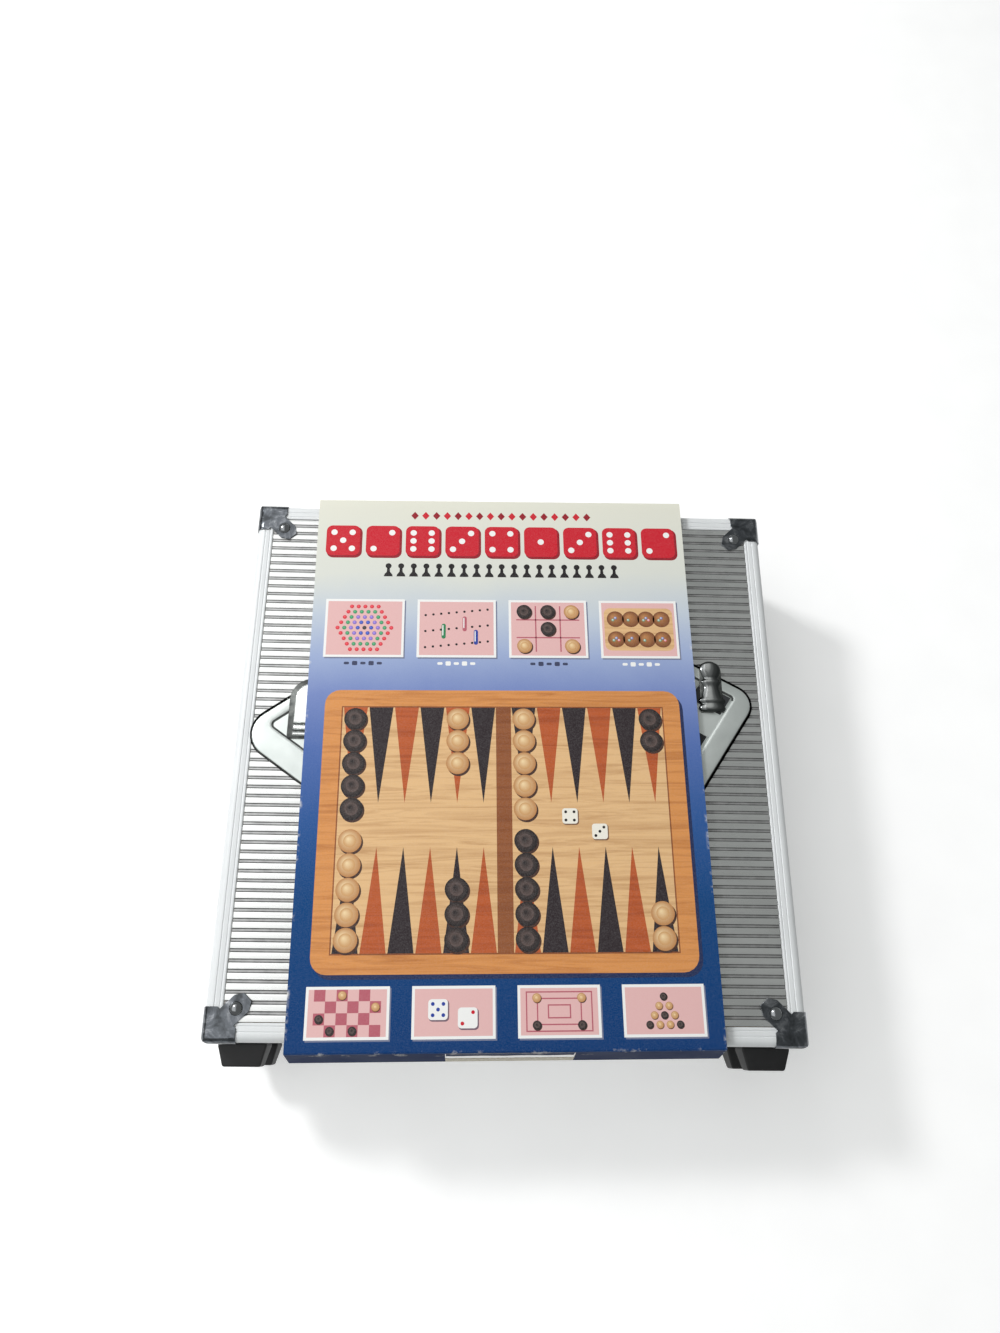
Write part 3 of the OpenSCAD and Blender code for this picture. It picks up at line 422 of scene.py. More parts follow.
def card_stock():
    """Varnished print on white card: a cream to deep-blue fade from the far edge to the near, and painted
    shade on the near flap.
    """
    made = Shader("card_print_ground", srgb(120, 140, 190), roughness=0.6, Specular_IOR_Level=0.06)
    along = made.spread(made.axis("Y"), -CARD_LEN / 2, CARD_LEN / 2)
    cloudy = made.math("ADD", along, made.spread(made.noise(14.0, 4, 0.6), 0.3, 0.7, -0.012, 0.012))
    fade = made.ramp(cloudy, [
        (0.0, srgb(2, 58, 116)), (0.24, srgb(6, 68, 126)), (0.37, srgb(44, 88, 152)),
        (0.50, srgb(84, 112, 176)), (0.60, srgb(124, 142, 196)), (0.68, srgb(162, 178, 214)),
        (0.76, srgb(198, 208, 220)), (0.84, srgb(222, 224, 216)), (1.0, srgb(229, 228, 214))])
    dots = made.noise(2600.0, 1, 0.5)
    inked = made.mix(made.spread(dots, 0.4, 0.7, 0.0, 0.04), fade, (1, 1, 1))
    # Painted shade: below its fold the near flap is painted a darker navy.
    near = made.math("LESS_THAN", made.axis("Y"), 0.0)
    fold_h, scuff_reach = 1.6 * MM, 1.8 * MM
    low = made.math("LESS_THAN", made.axis("Z"), CARD_TOP - fold_h)
    shaded_near_flap = made.math("MULTIPLY", near, low)
    inked = made.mix(shaded_near_flap, inked, srgb(0, 30, 74))
    worn = edge_wear(made, CARD_W / 2, CARD_LEN / 2, scuff_reach)
    made.paint(made.mix(worn, inked, srgb(236, 234, 228)))
    made.gloss(made.noise(30.0, 4, 0.6), 0.48, 0.62)
    made.bump(made.noise(24.0, 3, 0.5), 0.08, 0.002)
    return made.mat


def raw_board():
    """The card's unprinted core and back."""
    made = Shader("raw_board", srgb(222, 216, 202), roughness=0.9)
    fibre = made.grain((1.0, 3.0, 3.0), 5, 0.7, size=520.0)
    made.paint(made.ramp(fibre, [
        (0.3, srgb(178, 168, 148)), (0.55, srgb(222, 216, 202)), (0.8, srgb(242, 240, 234))]))
    made.bump(fibre, 0.4, 0.0004)
    return made.mat


def printed_ink(name, wooden=False):
    """Ink that takes its colour from the shapes, with a fine screen and, for wood, printed grain."""
    made = Shader(name, roughness=0.5, Specular_IOR_Level=0.2)
    ink = made.node("ShaderNodeVertexColor", layer_name="ink").outputs["Color"]
    if wooden:
        bands = made.grain((14.0, 260.0, 260.0), 5, 0.65, 1.2)
        shade = made.ramp(bands, [(0.3, (0.62, 0.5, 0.4)), (0.55, (1, 1, 1)), (0.8, (1.0, 0.95, 0.85))])
        ink = made.mix(0.75, ink, shade, blend="MULTIPLY")
    made.tint(made.noise(2400.0, 1, 0.5), 0.4, 0.7, ink, (1, 1, 1), 0.05)
    made.gloss(made.noise(30.0, 4, 0.6), 0.42, 0.56)
    return made.mat


def make_materials():
    """A material for each slot of the record, and then those that only this script names."""
    return {
        "fibreboard": fibreboard(),
        "ribbed_sheet": drawn_metal("ribbed_sheet", (0.77, 0.78, 0.77), 0.28, "x", 0.1),
        "profile": drawn_metal(
            "profile_metal", (0.80, 0.82, 0.83), 0.5, "y", 0.12, metallic=0.08, Specular_IOR_Level=0.2),
        "cap_steel": cap_steel(),
        "rivet": plated_steel("rivet_steel", (0.26, 0.27, 0.28), 0.12),
        "lining": cloth("lining_flock", (0.03, 0.035, 0.05)),
        "foot_plastic": plastic("foot_plastic", (0.006, 0.006, 0.007), 0.5),
        "hardware": plated_steel("hardware_steel", (0.62, 0.62, 0.62), 0.26),
        "lever": plated_steel("lever_steel", (0.66, 0.66, 0.67), 0.16),
        "grip": plastic("grip_plastic", (0.014, 0.014, 0.016), 0.45, 0.3),
        "tray_wood": wood("tray_wood", srgb(206, 170, 122), srgb(160, 118, 74)),
        "board_wood": wood("board_wood", srgb(214, 166, 112), srgb(164, 108, 60)),
        "light_wood": wood("light_wood", srgb(222, 182, 124), srgb(182, 134, 80), "y", 120.0, 0.3),
        "dark_wood": wood("dark_wood", srgb(46, 34, 32), srgb(24, 18, 18), "y", 120.0, 0.26),
        "die": plastic("die_plastic", srgb(232, 228, 214), 0.25, 0.03),
        "peg": plastic("peg_plastic", srgb(190, 26, 44), 0.28, 0.03),
        "marble": glass("marble_glass", (0.25, 0.5, 0.85), (0.02, 0.1, 0.5)),
        "stone": glass("stone_glass", (0.2, 0.7, 0.5), (0.02, 0.3, 0.2)),
        "playing_card": stacked_cards(),
        "emblem": emblem_plastic(),
        "lid_card": card_stock(),
        # The grooves' walls and floor: painted shade, the walls darker.
        "groove": painted_shade_groove_metal("painted_shade_groove_metal", 0.1, 0.24),
        "groove_floor": painted_shade_groove_metal("painted_shade_groove_floor_metal", 0.32, 0.46),
        "relief": relief_plating(),
        "painted_shade_plating": painted_shade_plating(),
        "dark_square": dark_square(),
        "chrome": chrome(),
        "raw_board": raw_board(),
        "inlaid_board": chequered_wood(),
        "ink": printed_ink("printed_ink"),
        "wood_ink": printed_ink("printed_wood", wooden=True),
    }


# ---- mesh helpers

def add_mesh(name, verts, faces, materials, face_materials=None, smooth=True):
    mesh = bpy.data.meshes.new(name)
    mesh.from_pydata([tuple(v) for v in verts], [], faces)
    for mat in materials:
        mesh.materials.append(mat)
    if face_materials:
        mesh.polygons.foreach_set("material_index", face_materials)
    mesh.polygons.foreach_set("use_smooth", [smooth] * len(mesh.polygons))
    mesh.update()
    mesh.set_sharp_from_angle(angle=SHARP_ANGLE)
    return add_object(name, mesh)


def band(a, b, n):
    """The faces between two rings of n points, which start at a and b."""
    return [(a + i, a + (i + 1) % n, b + (i + 1) % n, b + i) for i in range(n)]


def cap(start, n, down=False):
    """The face of a ring of n points, turned down where it closes an underside."""
    face = tuple(range(start, start + n))
    return face[::-1] if down else face


def tidy_normals(obj):
    work = bmesh.new()
    work.from_mesh(obj.data)
    bmesh.ops.recalc_face_normals(work, faces=work.faces)
    work.to_mesh(obj.data)
    work.free()
    obj.data.set_sharp_from_angle(angle=SHARP_ANGLE)


def soften(obj, width, angle=32):
    """Rounds the edges of a mesh with a bevel, and keeps its flats flat."""
    bevel = obj.modifiers.new("round_edges", "BEVEL")
    bevel.width = width
    bevel.segments = 2
    bevel.limit_method = "ANGLE"
    bevel.angle_limit = math.radians(angle)
    bevel.use_clamp_overlap = True
    shade = obj.modifiers.new("even_shading", "WEIGHTED_NORMAL")
    shade.keep_sharp = True


def dress(piece, body, slot, *nodes):
    """Rides a piece on its body and hides the nodes that it stands for. Its slot is not used."""
    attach(piece, body)
    if nodes:
        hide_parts(*nodes)
    return piece


def rounded_copy(node, body, width, finish):
    """A copy of a CAD node with softly rounded edges, which replaces it."""
    mesh = NODES[node].data.copy()
    work = bmesh.new()
    work.from_mesh(mesh)
    bmesh.ops.remove_doubles(work, verts=work.verts, dist=2e-6)
    bmesh.ops.dissolve_limit(work, angle_limit=math.radians(1), verts=work.verts, edges=work.edges)
    for face in work.faces:
        face.smooth = True
        face.material_index = 0
    work.to_mesh(mesh)
    work.free()
    mesh.materials.clear()
    mesh.materials.append(finish)
    piece = add_object(node + "_rounded", mesh)
    soften(piece, width)
    dress(piece, body, SLOT_OF[node], node)


# ---- lid and base metal

def rib_section(half_y):
    """The sheet's top across its ribs: (y, height) from one side to the other."""
    steps = [(place * MM, height * MM) for place, height, _ in HALF_RIB]
    count = int((half_y - RIB_PITCH / 4) / RIB_PITCH + 0.5)
    side, side_h = half_y - 0.1 * MM, -0.35 * MM
    section = [(-half_y, side_h)]
    for k in range(-count, count):
        centre = (k + 0.5) * RIB_PITCH
        groove = [(centre - d, h) for d, h in reversed(steps)] + [(centre + d, h) for d, h in steps[1:]]
        section += [p for p in groove if p[0] > section[-1][0] + 1e-6 and abs(p[0]) < side]
    return [*section, (half_y, side_h)]


def rib_finish(y):
    """The finish at a place across the ribs."""
    place = abs((y / RIB_PITCH) % 1.0 - 0.5) * RIB_PITCH / MM
    return next(kind for start, _, kind in reversed(HALF_RIB) if place >= start)


def ribbed_sheet(name, body, node, mats):
    """The ribbed sheet: softly crowned ribs along X, with grooves in painted shade between them."""
    low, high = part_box(node)
    section = rib_section(high.y)
    n = len(section)
    top = [Vector((x, y, high.z + h)) for x in (low.x, high.x) for y, h in section]
    foot = [Vector((x, y, low.z)) for x in (low.x, high.x) for y in (-high.y, high.y)]
    faces = [(i, i + n, i + n + 1, i + 1) for i in range(n - 1)]
    finish = [rib_finish((section[i][0] + section[i + 1][0]) / 2) for i in range(n - 1)]
    # The two ends have corners of their own, so that they stay sharp, and the underside is plain.
    base = 4 * n
    faces += [cap(2 * n, n) + (base + 1, base), cap(3 * n, n, down=True) + (base + 2, base + 3)]
    faces.append((base, base + 1, base + 3, base + 2))
    finish += [RIB] * 3
    looks = [mats["ribbed_sheet"], mats["groove"], mats["groove_floor"]]
    sheet = add_mesh(name, top + top + foot, faces, looks, finish)
    sheet.data.polygons.foreach_set("use_smooth", [True] * (n - 1) + [False] * 3)
    dress(sheet, body, "ribbed_sheet", node)


def arc(cx, cy, r, start, end, steps):
    """Points of an arc in a plane, with its angles in degrees."""
    angles = [math.radians(start + (end - start) * k / steps) for k in range(steps + 1)]
    return [(cx + r * math.cos(a), cy + r * math.sin(a)) for a in angles]


def profile_section():
    """An edge profile: u runs in from the outer face, v runs down from the top, in millimetres."""
    outer = [(0.0, 10.2), (0.0, 5.2)]
    outer += [(4.2 - x, 4.2 - y) for x, y in arc(0, 0, 4.2, 0, 90, 8)]
    outer += [(4.9, 0.0), (5.15, 0.28), (5.45, 0.28), (5.7, 0.02), (7.9, 0.1), (8.1, 0.34), (8.35, 0.34)]
    outer += [(8.6, 0.08), (9.0, 0.0), (9.6, 0.02), (9.95, 0.2), (10.15, 0.6), (10.2, 1.4)]
    inner = [(4.2 - x, 4.2 - y) for x, y in arc(0, 0, 2.8, 90, 0, 6)]
    return outer + inner + [(1.4, 10.2)]


def edge_profiles(body, face_z, up, mats):
    """Four profile bars round a body's face, which end under the corner caps."""
    section = profile_section()
    n = len(section)
    half_len = 155.5 * MM
    verts, faces = [], []
    for turn in range(4):
        spin = Matrix.Rotation(turn * math.pi / 2, 4, "Z")
        start = len(verts)
        for y in (-half_len, half_len):
            verts += [spin @ Vector((SKIN_HALF - u * MM, y, face_z - up * v * MM)) for u, v in section]
        faces += band(start, start + n, n)
        faces += [cap(start, n, down=True), cap(start + n, n)]
    bars = add_mesh(body + "_profile_bars", verts, faces, [mats["profile"]])
    tidy_normals(bars)
    soften(bars, 0.12 * MM, 40)
    dress(bars, body, "profile", body + "_edge_profiles")


# ---- emblem

# Emblem finishes: satin plating, painted shade on its walls and edge line, and the dark squares.
SATIN, PAINTED_SHADE, DARK = range(3)


def inner_point(i, before, after):
    """The point inside the emblem's corner i, before from the side that ends there, after from the next."""
    p = EMBLEM_CORNERS[i]
    a = (EMBLEM_CORNERS[(i + 1) % 4] - p).normalized()
    b = (EMBLEM_CORNERS[(i + 3) % 4] - p).normalized()
    return p + (a * before + b * after) / math.sin(a.angle(b))


def outline_ring(insets, steps=10):
    """The emblem's outline moved in by one inset for each side, always with as many points."""
    ring = []
    for i in range(4):
        before, after = insets[i - 1], insets[i]
        r = max(EMBLEM_ROUNDING[i] - (before + after) / 2, LEAST_ROUNDING)
        centre = inner_point(i, before + r, after + r)
        before = (EMBLEM_CORNERS[i] - EMBLEM_CORNERS[i - 1]).normalized()
        after = (EMBLEM_CORNERS[(i + 1) % 4] - EMBLEM_CORNERS[i]).normalized()
        start = Vector((before.y, -before.x))
        turn = math.atan2(before.x * after.y - before.y * after.x, before.dot(after))
        for k in range(steps + 1):
            a = turn * k / steps
            out_x = start.x * math.cos(a) - start.y * math.sin(a)
            out_y = start.x * math.sin(a) + start.y * math.cos(a)
            ring.append(centre + Vector((out_x, out_y)) * r)
    return ring


def on_field(u, v):
    """A place on the emblem's field, with u and v from 0 to 1, in the board's own perspective."""
    c = [inner_point(i, EMBLEM_BORDERS[i - 1], EMBLEM_BORDERS[i]) for i in range(4)]
    along, across, skew = c[1] - c[2], c[3] - c[2], c[0] - c[1] + c[2] - c[3]
    g = skew.cross(across) / along.cross(across)
    h = along.cross(skew) / along.cross(across)
    return (c[0] + (c[1] * (1 + g) - c[0]) * u + (c[3] * (1 + h) - c[0]) * v) / (1 + g * u + h * v)


def emblem_border():
    """The board without its squares, as verts, faces and finish: border, light field and underside."""
    # Each ring: its share of the border's width, its inset, its height, and the finish up to the next ring;
    # the outer and inner walls take painted shade.
    rings = [
        (0, 0.0, 0.3, PAINTED_SHADE), (0, 0.05, 1.7, PAINTED_SHADE), (0, 0.6, 2.55, SATIN), (0, 1.2, 2.8, SATIN),
        (0, 2.4, 2.93, SATIN), (0.5, 0, 3.0, SATIN), (1, -2.6, 2.93, SATIN), (1, -1.3, 2.78, PAINTED_SHADE),
        (1, -0.1, 2.0, SATIN),
    ]
    points = [outline_ring([share * w + inset * MM for w in EMBLEM_BORDERS]) for share, inset, _, _ in rings]
    # A line of painted shade on the sheet round the plate's edge, a little wider on the far sides.
    points.insert(0, outline_ring([-w * MM for w in (0.4, 1.3, 1.9, 1.8)]))
    rings.insert(0, (0, 0, 0.3, PAINTED_SHADE))
    n, last = len(points[0]), len(rings) - 1
    verts, faces, finish = [], [], []
    for ring, (_, _, z, _) in zip(points, rings):
        verts += [Vector((p.x, p.y, LID_FACE + z * MM)) for p in ring]
    for k in range(last):
        faces += band(k * n, (k + 1) * n, n)
        finish += [rings[k][3]] * n
    # Along the near right side the border runs into the field without the painted shade line.
    near_right = 2 * (n // 4) - 1
    finish[(last - 1) * n + near_right] = SATIN
    faces += [cap(last * n, n), cap(0, n, down=True)]
    finish += [SATIN, PAINTED_SHADE]
    return verts, faces, finish


def emblem_square(i, j, start):
    """The raised dark square in column i and row j: its verts, faces and finish."""
    columns, rows = EMBLEM_TILES
    verts = []
    for margin, z in ((0.01, 1.7), (0.015, 2.3), (0.04, 2.5)):
        for cu, cv in ((0, 0), (1, 0), (1, 1), (0, 1)):
            u = (i + margin + cu * (1 - 2 * margin)) / columns
            v = (j + margin + cv * (1 - 2 * margin)) / rows
            p = on_field(u, v)
            verts.append(Vector((p.x, p.y, LID_FACE + z * MM)))
    faces = band(start, start + 4, 4) + band(start + 4, start + 8, 4)
    faces += [cap(start + 8, 4), cap(start, 4, down=True)]
    return verts, faces, [SATIN] * 8 + [DARK] * 2


def emblem_plate(mats):
    """The moulded board: a softly crowned border, and a field of light and raised dark squares."""
    verts, faces, finish = emblem_border()
    columns, rows = EMBLEM_TILES
    for i in range(columns):
        for j in range(rows):
            if (i + j) % 2 == 1:
                parts = emblem_square(i, j, len(verts))
                for whole, part in zip((verts, faces, finish), parts):
                    whole.extend(part)
    looks = [mats["emblem"], mats["painted_shade_plating"], mats["dark_square"]]
    plate = add_mesh("emblem_board", verts, faces, looks, finish)
    plate.modifiers.new("even_shading", "WEIGHTED_NORMAL")
    dress(plate, "lid", "emblem", "emblem_plate")


def bevelled_plate(outline_at, rings):
    """The verts and faces of a flat raised shape. rings are (inset, height) in millimetres."""
    levels = [outline_at(inset) for inset, _ in rings]
    n = len(levels[0])
    verts, faces = [], [cap(0, n, down=True)]
    for level, (_, z) in zip(levels, rings):
        verts += [Vector((x * MM, y * MM, LID_FACE + EMBLEM_T + z * MM)) for x, y in level]
    for k in range(len(rings) - 1):
        faces += band(k * n, (k + 1) * n, n)
    faces.append(cap((len(rings) - 1) * n, n))
    return verts, faces


def slab_outline(foot, half_w, low, high, round_top=False):
    """The outline of a level bar, or of a post with a round top, as a function of its inset."""
    x, y = foot

    def at(inset):
        w = half_w - inset
        base = [(x - w, y + low + inset), (x + w, y + low + inset)]
        if round_top:
            return base + arc(x, y + high - half_w, w, 0, 180, 24)
        return base + [(x + w, y + high - inset), (x - w, y + high - inset)]
    return at


def smooth_curve(points, parts):
    """The curve through points of (radius, distance), with each stretch cut into parts."""
    least_radius = 0.2

    def between(p, q, r, t, s):
        bend = (2 * p - 5 * q + 4 * r - t) * s ** 2 + (3 * q - p - 3 * r + t) * s ** 3
        return 0.5 * (2 * q + (r - p) * s + bend)

    ends = [points[0], *points, points[-1]]
    curve = []
    for stretch in zip(ends, ends[1:], ends[2:], ends[3:]):
        for k in range(parts):
            radius, distance = (between(*values, k / parts) for values in zip(*stretch))
            curve.append((max(least_radius, radius), max(0.0, distance)))
    return [*curve, points[-1]]


def turned_figure(foot, outline):
    """A turned figure lying on the emblem. outline is (radius, distance) in millimetres."""
    steps, seat = 28, 0.8
    widest = max(r for r, _ in outline)
    outline = smooth_curve(outline, 3)
    low = LID_FACE + EMBLEM_T + seat * MM
    verts, faces = [], []
    for r, t in outline:
        rise = (RELIEF_H - seat) * MM * (r / widest) ** 0.5
        for k in range(steps + 1):
            a = math.pi * k / steps
            x, y = (foot[0] - r * math.cos(a)) * MM, (foot[1] + t) * MM
            verts.append(Vector((x, y, low + rise * math.sin(a) ** 1.3)))
    n = steps + 1
    for row in range(len(outline) - 1):
        faces += band(row * n, (row + 1) * n, n)
    faces += [cap(0, n, down=True), cap((len(outline) - 1) * n, n)]
    return verts, faces


def relief(name, shapes, mats):
    """One raised playing piece: dark plates of painted shade and bright shapes on them, as (verts, faces,
    finish).
    """
    verts, faces, finish = [], [], []
    for shape_verts, shape_faces, kind in shapes:
        start = len(verts)
        verts += shape_verts
        faces += [tuple(start + v for v in face) for face in shape_faces]
        finish += [kind] * len(shape_faces)
    figure = add_mesh(name, verts, faces, [mats["relief"], mats["painted_shade_plating"], mats["chrome"]], finish)
    tidy_normals(figure)
    return dress(figure, "lid", "emblem")


# Plates of the relief: (inset, height) up their sides, in millimetres; the low dark ones are painted shade.
RELIEF_H = 3.3
GROUND = [(0, 0), (0.1, 1.0), (0.5, 1.3)]
BRIGHT = [(0, 0.6), (0.1, 2.2), (0.5, 2.9), (1.4, RELIEF_H)]

# Turned figures: (radius, distance from the foot) in millimetres.
PAWN_OUTLINE = [
    (0.2, 0), (6.4, 0.3), (8.2, 2.0), (7.6, 4.0), (6.8, 5.0), (8.0, 6.4), (8.2, 7.6), (6.6, 9.6), (5.6, 13.0),
    (5.0, 16.2), (6.2, 18.4), (6.4, 19.6), (4.6, 21.6), (5.6, 23.4), (6.6, 26.6), (6.2, 29.6), (4.6, 31.6),
    (0.2, 32.7),
]
KING_OUTLINE = [
    (0.3, 2), (13, 3), (15, 5), (14, 9), (12, 12), (9, 18), (7, 30), (6.4, 46), (7, 52), (12, 55), (12, 58),
    (7, 61), (8, 66), (11, 76), (11.5, 80), (7, 83), (3.5, 85), (3.5, 90), (0.3, 91),
]
# Finishes of the reliefs: plating, painted shade for the dark plates, and chrome with a painted highlight.
PLATED, SHADE_PLATED, CHROMED = range(3)


def emblem_pieces(mats):
    """A pawn at the right, a tower at the left and a king between them, each on a dark plate of painted
    shade.
    """
    pawn, tower, king = (124.0, 26.0), (-119.3, 4.5), (6.0, -38.2)

    # Each figure's dark ground plate is painted shade.
    def ground(*outline):
        return (*bevelled_plate(slab_outline(*outline, round_top=True), GROUND), SHADE_PLATED)

    piece = relief("emblem_pawn", [
        ground(pawn, 6.9, -0.2, 33.2), (*turned_figure(pawn, PAWN_OUTLINE), CHROMED)], mats)
    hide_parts("emblem_pieces")
    slabs = [slab_outline(tower, 10.4, 8.9, 34.7, round_top=True)]
    slabs += [slab_outline(tower, 10.4, 4.9, 8.2), slab_outline(tower, 10.4, 1.2, 3.8)]
    relief("emblem_tower", [
        ground(tower, 13.7, 0.0, 38.0), *((*bevelled_plate(slab, BRIGHT), PLATED) for slab in slabs)], mats)
    relief("emblem_king", [
        ground(king, 16.5, 0.0, 91.5), (*turned_figure(king, KING_OUTLINE), PLATED)], mats)


# ---- lid card

PRINTED, RAW = range(2)


def card_place():
    return Matrix.Translation((CARD_X, 0, 0)) @ Matrix.Rotation(CARD_YAW, 4, "Z")


def card_path():
    """The card's middle line from the far flap's hem to the near flap's: (y, z, out y, out z)."""
    r = 1.1 * MM
    top, half = CARD_TOP, CARD_LEN / 2
    far_rows, bend_rows, top_rows = 6, 5, 60
    path = []
    for k in range(far_rows + 1):
        path.append((half, top - FAR_FLAP + (FAR_FLAP - r) * k / far_rows, 1.0, 0.0))
    for k in range(1, bend_rows + 1):
        a = math.radians(90 * k / bend_rows)
        path.append((half - r + r * math.cos(a), top - r + r * math.sin(a), math.cos(a), math.sin(a)))
    for k in range(1, top_rows):
        path.append((half - r - (CARD_LEN - 2 * r) * k / top_rows, top, 0.0, 1.0))
    upright, end = math.radians(90), math.radians(180 - math.degrees(NEAR_SPLAY))
    for k in range(bend_rows + 1):
        a = upright + (end - upright) * k / bend_rows
        path.append((-half + r + r * math.cos(a), top - r + r * math.sin(a), math.cos(a), math.sin(a)))
    y0, z0, oy, oz = path[-1]
    down = Vector((-oz, oy)).normalized()
    for k in range(1, FLAP_ROWS + 1):
        step = (NEAR_FLAP - r) * k / FLAP_ROWS
        path.append((y0 + down.x * step, z0 + down.y * step, oy, oz))
    return path


def card_faces(kept, rows, n, torn):
    """Faces of the card's kept cells, outside, inside and round the rims, with n points in a row."""
    back = n * rows
    faces, finish = [], []
    for r, c in sorted(kept):
        a = r * n + c
        faces.append((a, a + 1, a + n + 1, a + n))
        faces.append((back + a, back + a + n, back + a + n + 1, back + a + 1))
        finish += [RAW if (r, c) in torn else PRINTED, RAW]
        sides = {
            (r - 1, c): (a, a + 1), (r + 1, c): (a + n + 1, a + n),
            (r, c - 1): (a + n, a), (r, c + 1): (a + 1, a + n + 1),
        }
        for cell, (p, q) in sides.items():
            if cell not in kept:
                faces.append((q, p, back + p, back + q))
                finish.append(RAW)
    return faces, finish


def lid_card(mats):
    """The card as one bent sheet with a printed face, a raw back and edges, and a torn hand hole."""
    path = card_path()
    columns = 60
    xs = sorted({-CARD_W / 2 + CARD_W * k / columns for k in range(columns + 1)} | set(HAND_HOLE))
    verts = []
    for inset in (0, CARD_T):
        for y, z, oy, oz in path:
            verts += [Vector((x, y - oy * inset, z - oz * inset)) for x in xs]
    n, rows = len(xs), len(path)
    hole_top = rows - FLAP_ROWS
    hole_end = hole_top + HOLE_ROWS
    left, right = HAND_HOLE[0] - 1e-6, HAND_HOLE[1] + 1e-6
    hole_columns = [c for c in range(n - 1) if left <= xs[c] and xs[c + 1] <= right]
    hole = {(r, c) for r in range(hole_top, hole_end) for c in hole_columns}
    # Below the hole the print is torn off.
    torn = {(r, c) for r in range(hole_end, rows) for c in hole_columns}
    kept = {(r, c) for r in range(rows - 1) for c in range(n - 1)} - hole
    faces, finish = card_faces(kept, rows, n, torn)
    used = sorted({v for f in faces for v in f})
    index = {v: k for k, v in enumerate(used)}
    faces = [tuple(index[v] for v in f) for f in faces]
    verts = [verts[v] for v in used]
    card = add_mesh("printed_card", verts, faces, [mats["lid_card"], mats["raw_board"]], finish)
    tidy_normals(card)
    card.matrix_world = card_place()
    dress(card, "card", "lid_card", "lid_card")


def hand_hole_tongue(mats):
    """The hand hole's cut tongue: still joined along its top, pushed a little in, with a torn lower edge."""
    lean = NEAR_SPLAY - math.radians(6)
    drop, torn_edge = 2.1 * MM, 0.9 * MM
    hinge = Vector((-CARD_LEN / 2 - drop * math.sin(NEAR_SPLAY) + 0.1 * MM, CARD_TOP - drop))
    down = Vector((-math.sin(lean), -math.cos(lean)))
    inward = Vector((math.cos(lean), -math.sin(lean)))
    tear = random.Random(TEAR_SEED)
    columns = 36
    verts = []
    for k in range(columns + 1):
        x = HAND_HOLE[0] + (HAND_HOLE[1] - HAND_HOLE[0]) * (0.006 + 0.988 * k / columns)
        length = (10.6 + 0.5 * math.sin(k * 0.5) + tear.uniform(-0.35, 0.35)) * MM
        for depth in (0, CARD_T * 0.8):
            for reach in (0, length - torn_edge, length):
                p = hinge + down * reach + inward * depth
                verts.append(Vector((x, p.x, p.y)))
    # Round each cut across the tongue its six points follow one another like this.
    ring = (0, 1, 2, 5, 4, 3)
    faces, finish = [], []
    for a in range(0, 6 * columns, 6):
        faces += [(a + p, a + 6 + p, a + 6 + q, a + q) for p, q in zip(ring, ring[1:] + ring[:1])]
        finish += [PRINTED] + [RAW] * 5
    end = 6 * columns
    faces += [(0, 1, 4, 3), (1, 2, 5, 4)]
    faces += [(end + 3, end + 4, end + 1, end), (end + 4, end + 5, end + 2, end + 1)]
    finish += [RAW] * 4
    tongue = add_mesh("hand_hole_tongue", verts, faces, [mats["lid_card"], mats["raw_board"]], finish)
    tidy_normals(tongue)
    tongue.matrix_world = card_place()
    dress(tongue, "card", "lid_card")


PLAIN_INK, WOOD_INK = range(2)


class Print:
    """Flat inked shapes on the card: thin closed prisms, each layer a little higher than the last."""

    def __init__(self):
        self.verts, self.faces, self.inks, self.kinds = [], [], [], []

    def prism(self, points, layer, rim, kind=PLAIN_INK, core=None, centre=None):
        """points in millimetres. With a core colour, the top fades from the rim to that at its centre."""
        low = CARD_TOP + (0.004 + 0.016 * layer) * MM
        high = low + 0.014 * MM
        start, n = len(self.verts), len(points)
        for z in (low, high):
            self.verts += [Vector((x * MM, y * MM, z)) for x, y in points]
            self.inks += [rim] * n
        faces = [cap(start, n, down=True), *band(start, start + n, n)]
        if core:
            self.verts.append(Vector((centre[0] * MM, centre[1] * MM, high)))
            self.inks.append(core)
            faces += [(start + n + i, start + n + (i + 1) % n, start + 2 * n) for i in range(n)]
        else:
            faces.append(cap(start + n, n))
        self.faces += faces
        self.kinds += [kind] * len(faces)

    def rect(self, cx, cy, w, h, layer, color, kind=PLAIN_INK, r=0.0):
        points = []
        for sx, sy, start in ((1, -1, -90), (1, 1, 0), (-1, 1, 90), (-1, -1, 180)):
            x, y = cx + sx * (w / 2 - r), cy + sy * (h / 2 - r)
            points += arc(x, y, r, start, start + 90, 5) if r else [(x, y)]
        self.prism(points, layer, color, kind)

    def disc(self, cx, cy, r, layer, rim, core=None, steps=26):
        points = arc(cx, cy, r, 0, 360, steps)[:-1]
        self.prism(points, layer, rim, core=core, centre=(cx - r * 0.3, cy + r * 0.35))

    def build(self, mats):
        looks = [mats["ink"], mats["wood_ink"]]
        sheet = add_mesh("card_print", self.verts, self.faces, looks, self.kinds, smooth=False)
        layer = sheet.data.color_attributes.new("ink", "FLOAT_COLOR", "POINT")
        for spot, color in zip(layer.data, self.inks):
            spot.color = (*color, 1)
        sheet.matrix_world = card_place()
        dress(sheet, "card", "lid_card")


RED, DEEP_RED = srgb(206, 24, 44), srgb(150, 14, 34)
WHITE, BLACK = srgb(246, 246, 244), srgb(26, 22, 24)
PINK, DUSKY = srgb(232, 186, 184), srgb(186, 96, 110)
TAN, BROWN, RIM_WOOD = srgb(232, 190, 138), srgb(150, 88, 48), srgb(222, 150, 84)
GREEN, BLUE, VIOLET = srgb(40, 132, 84), srgb(40, 66, 160), srgb(120, 96, 176)

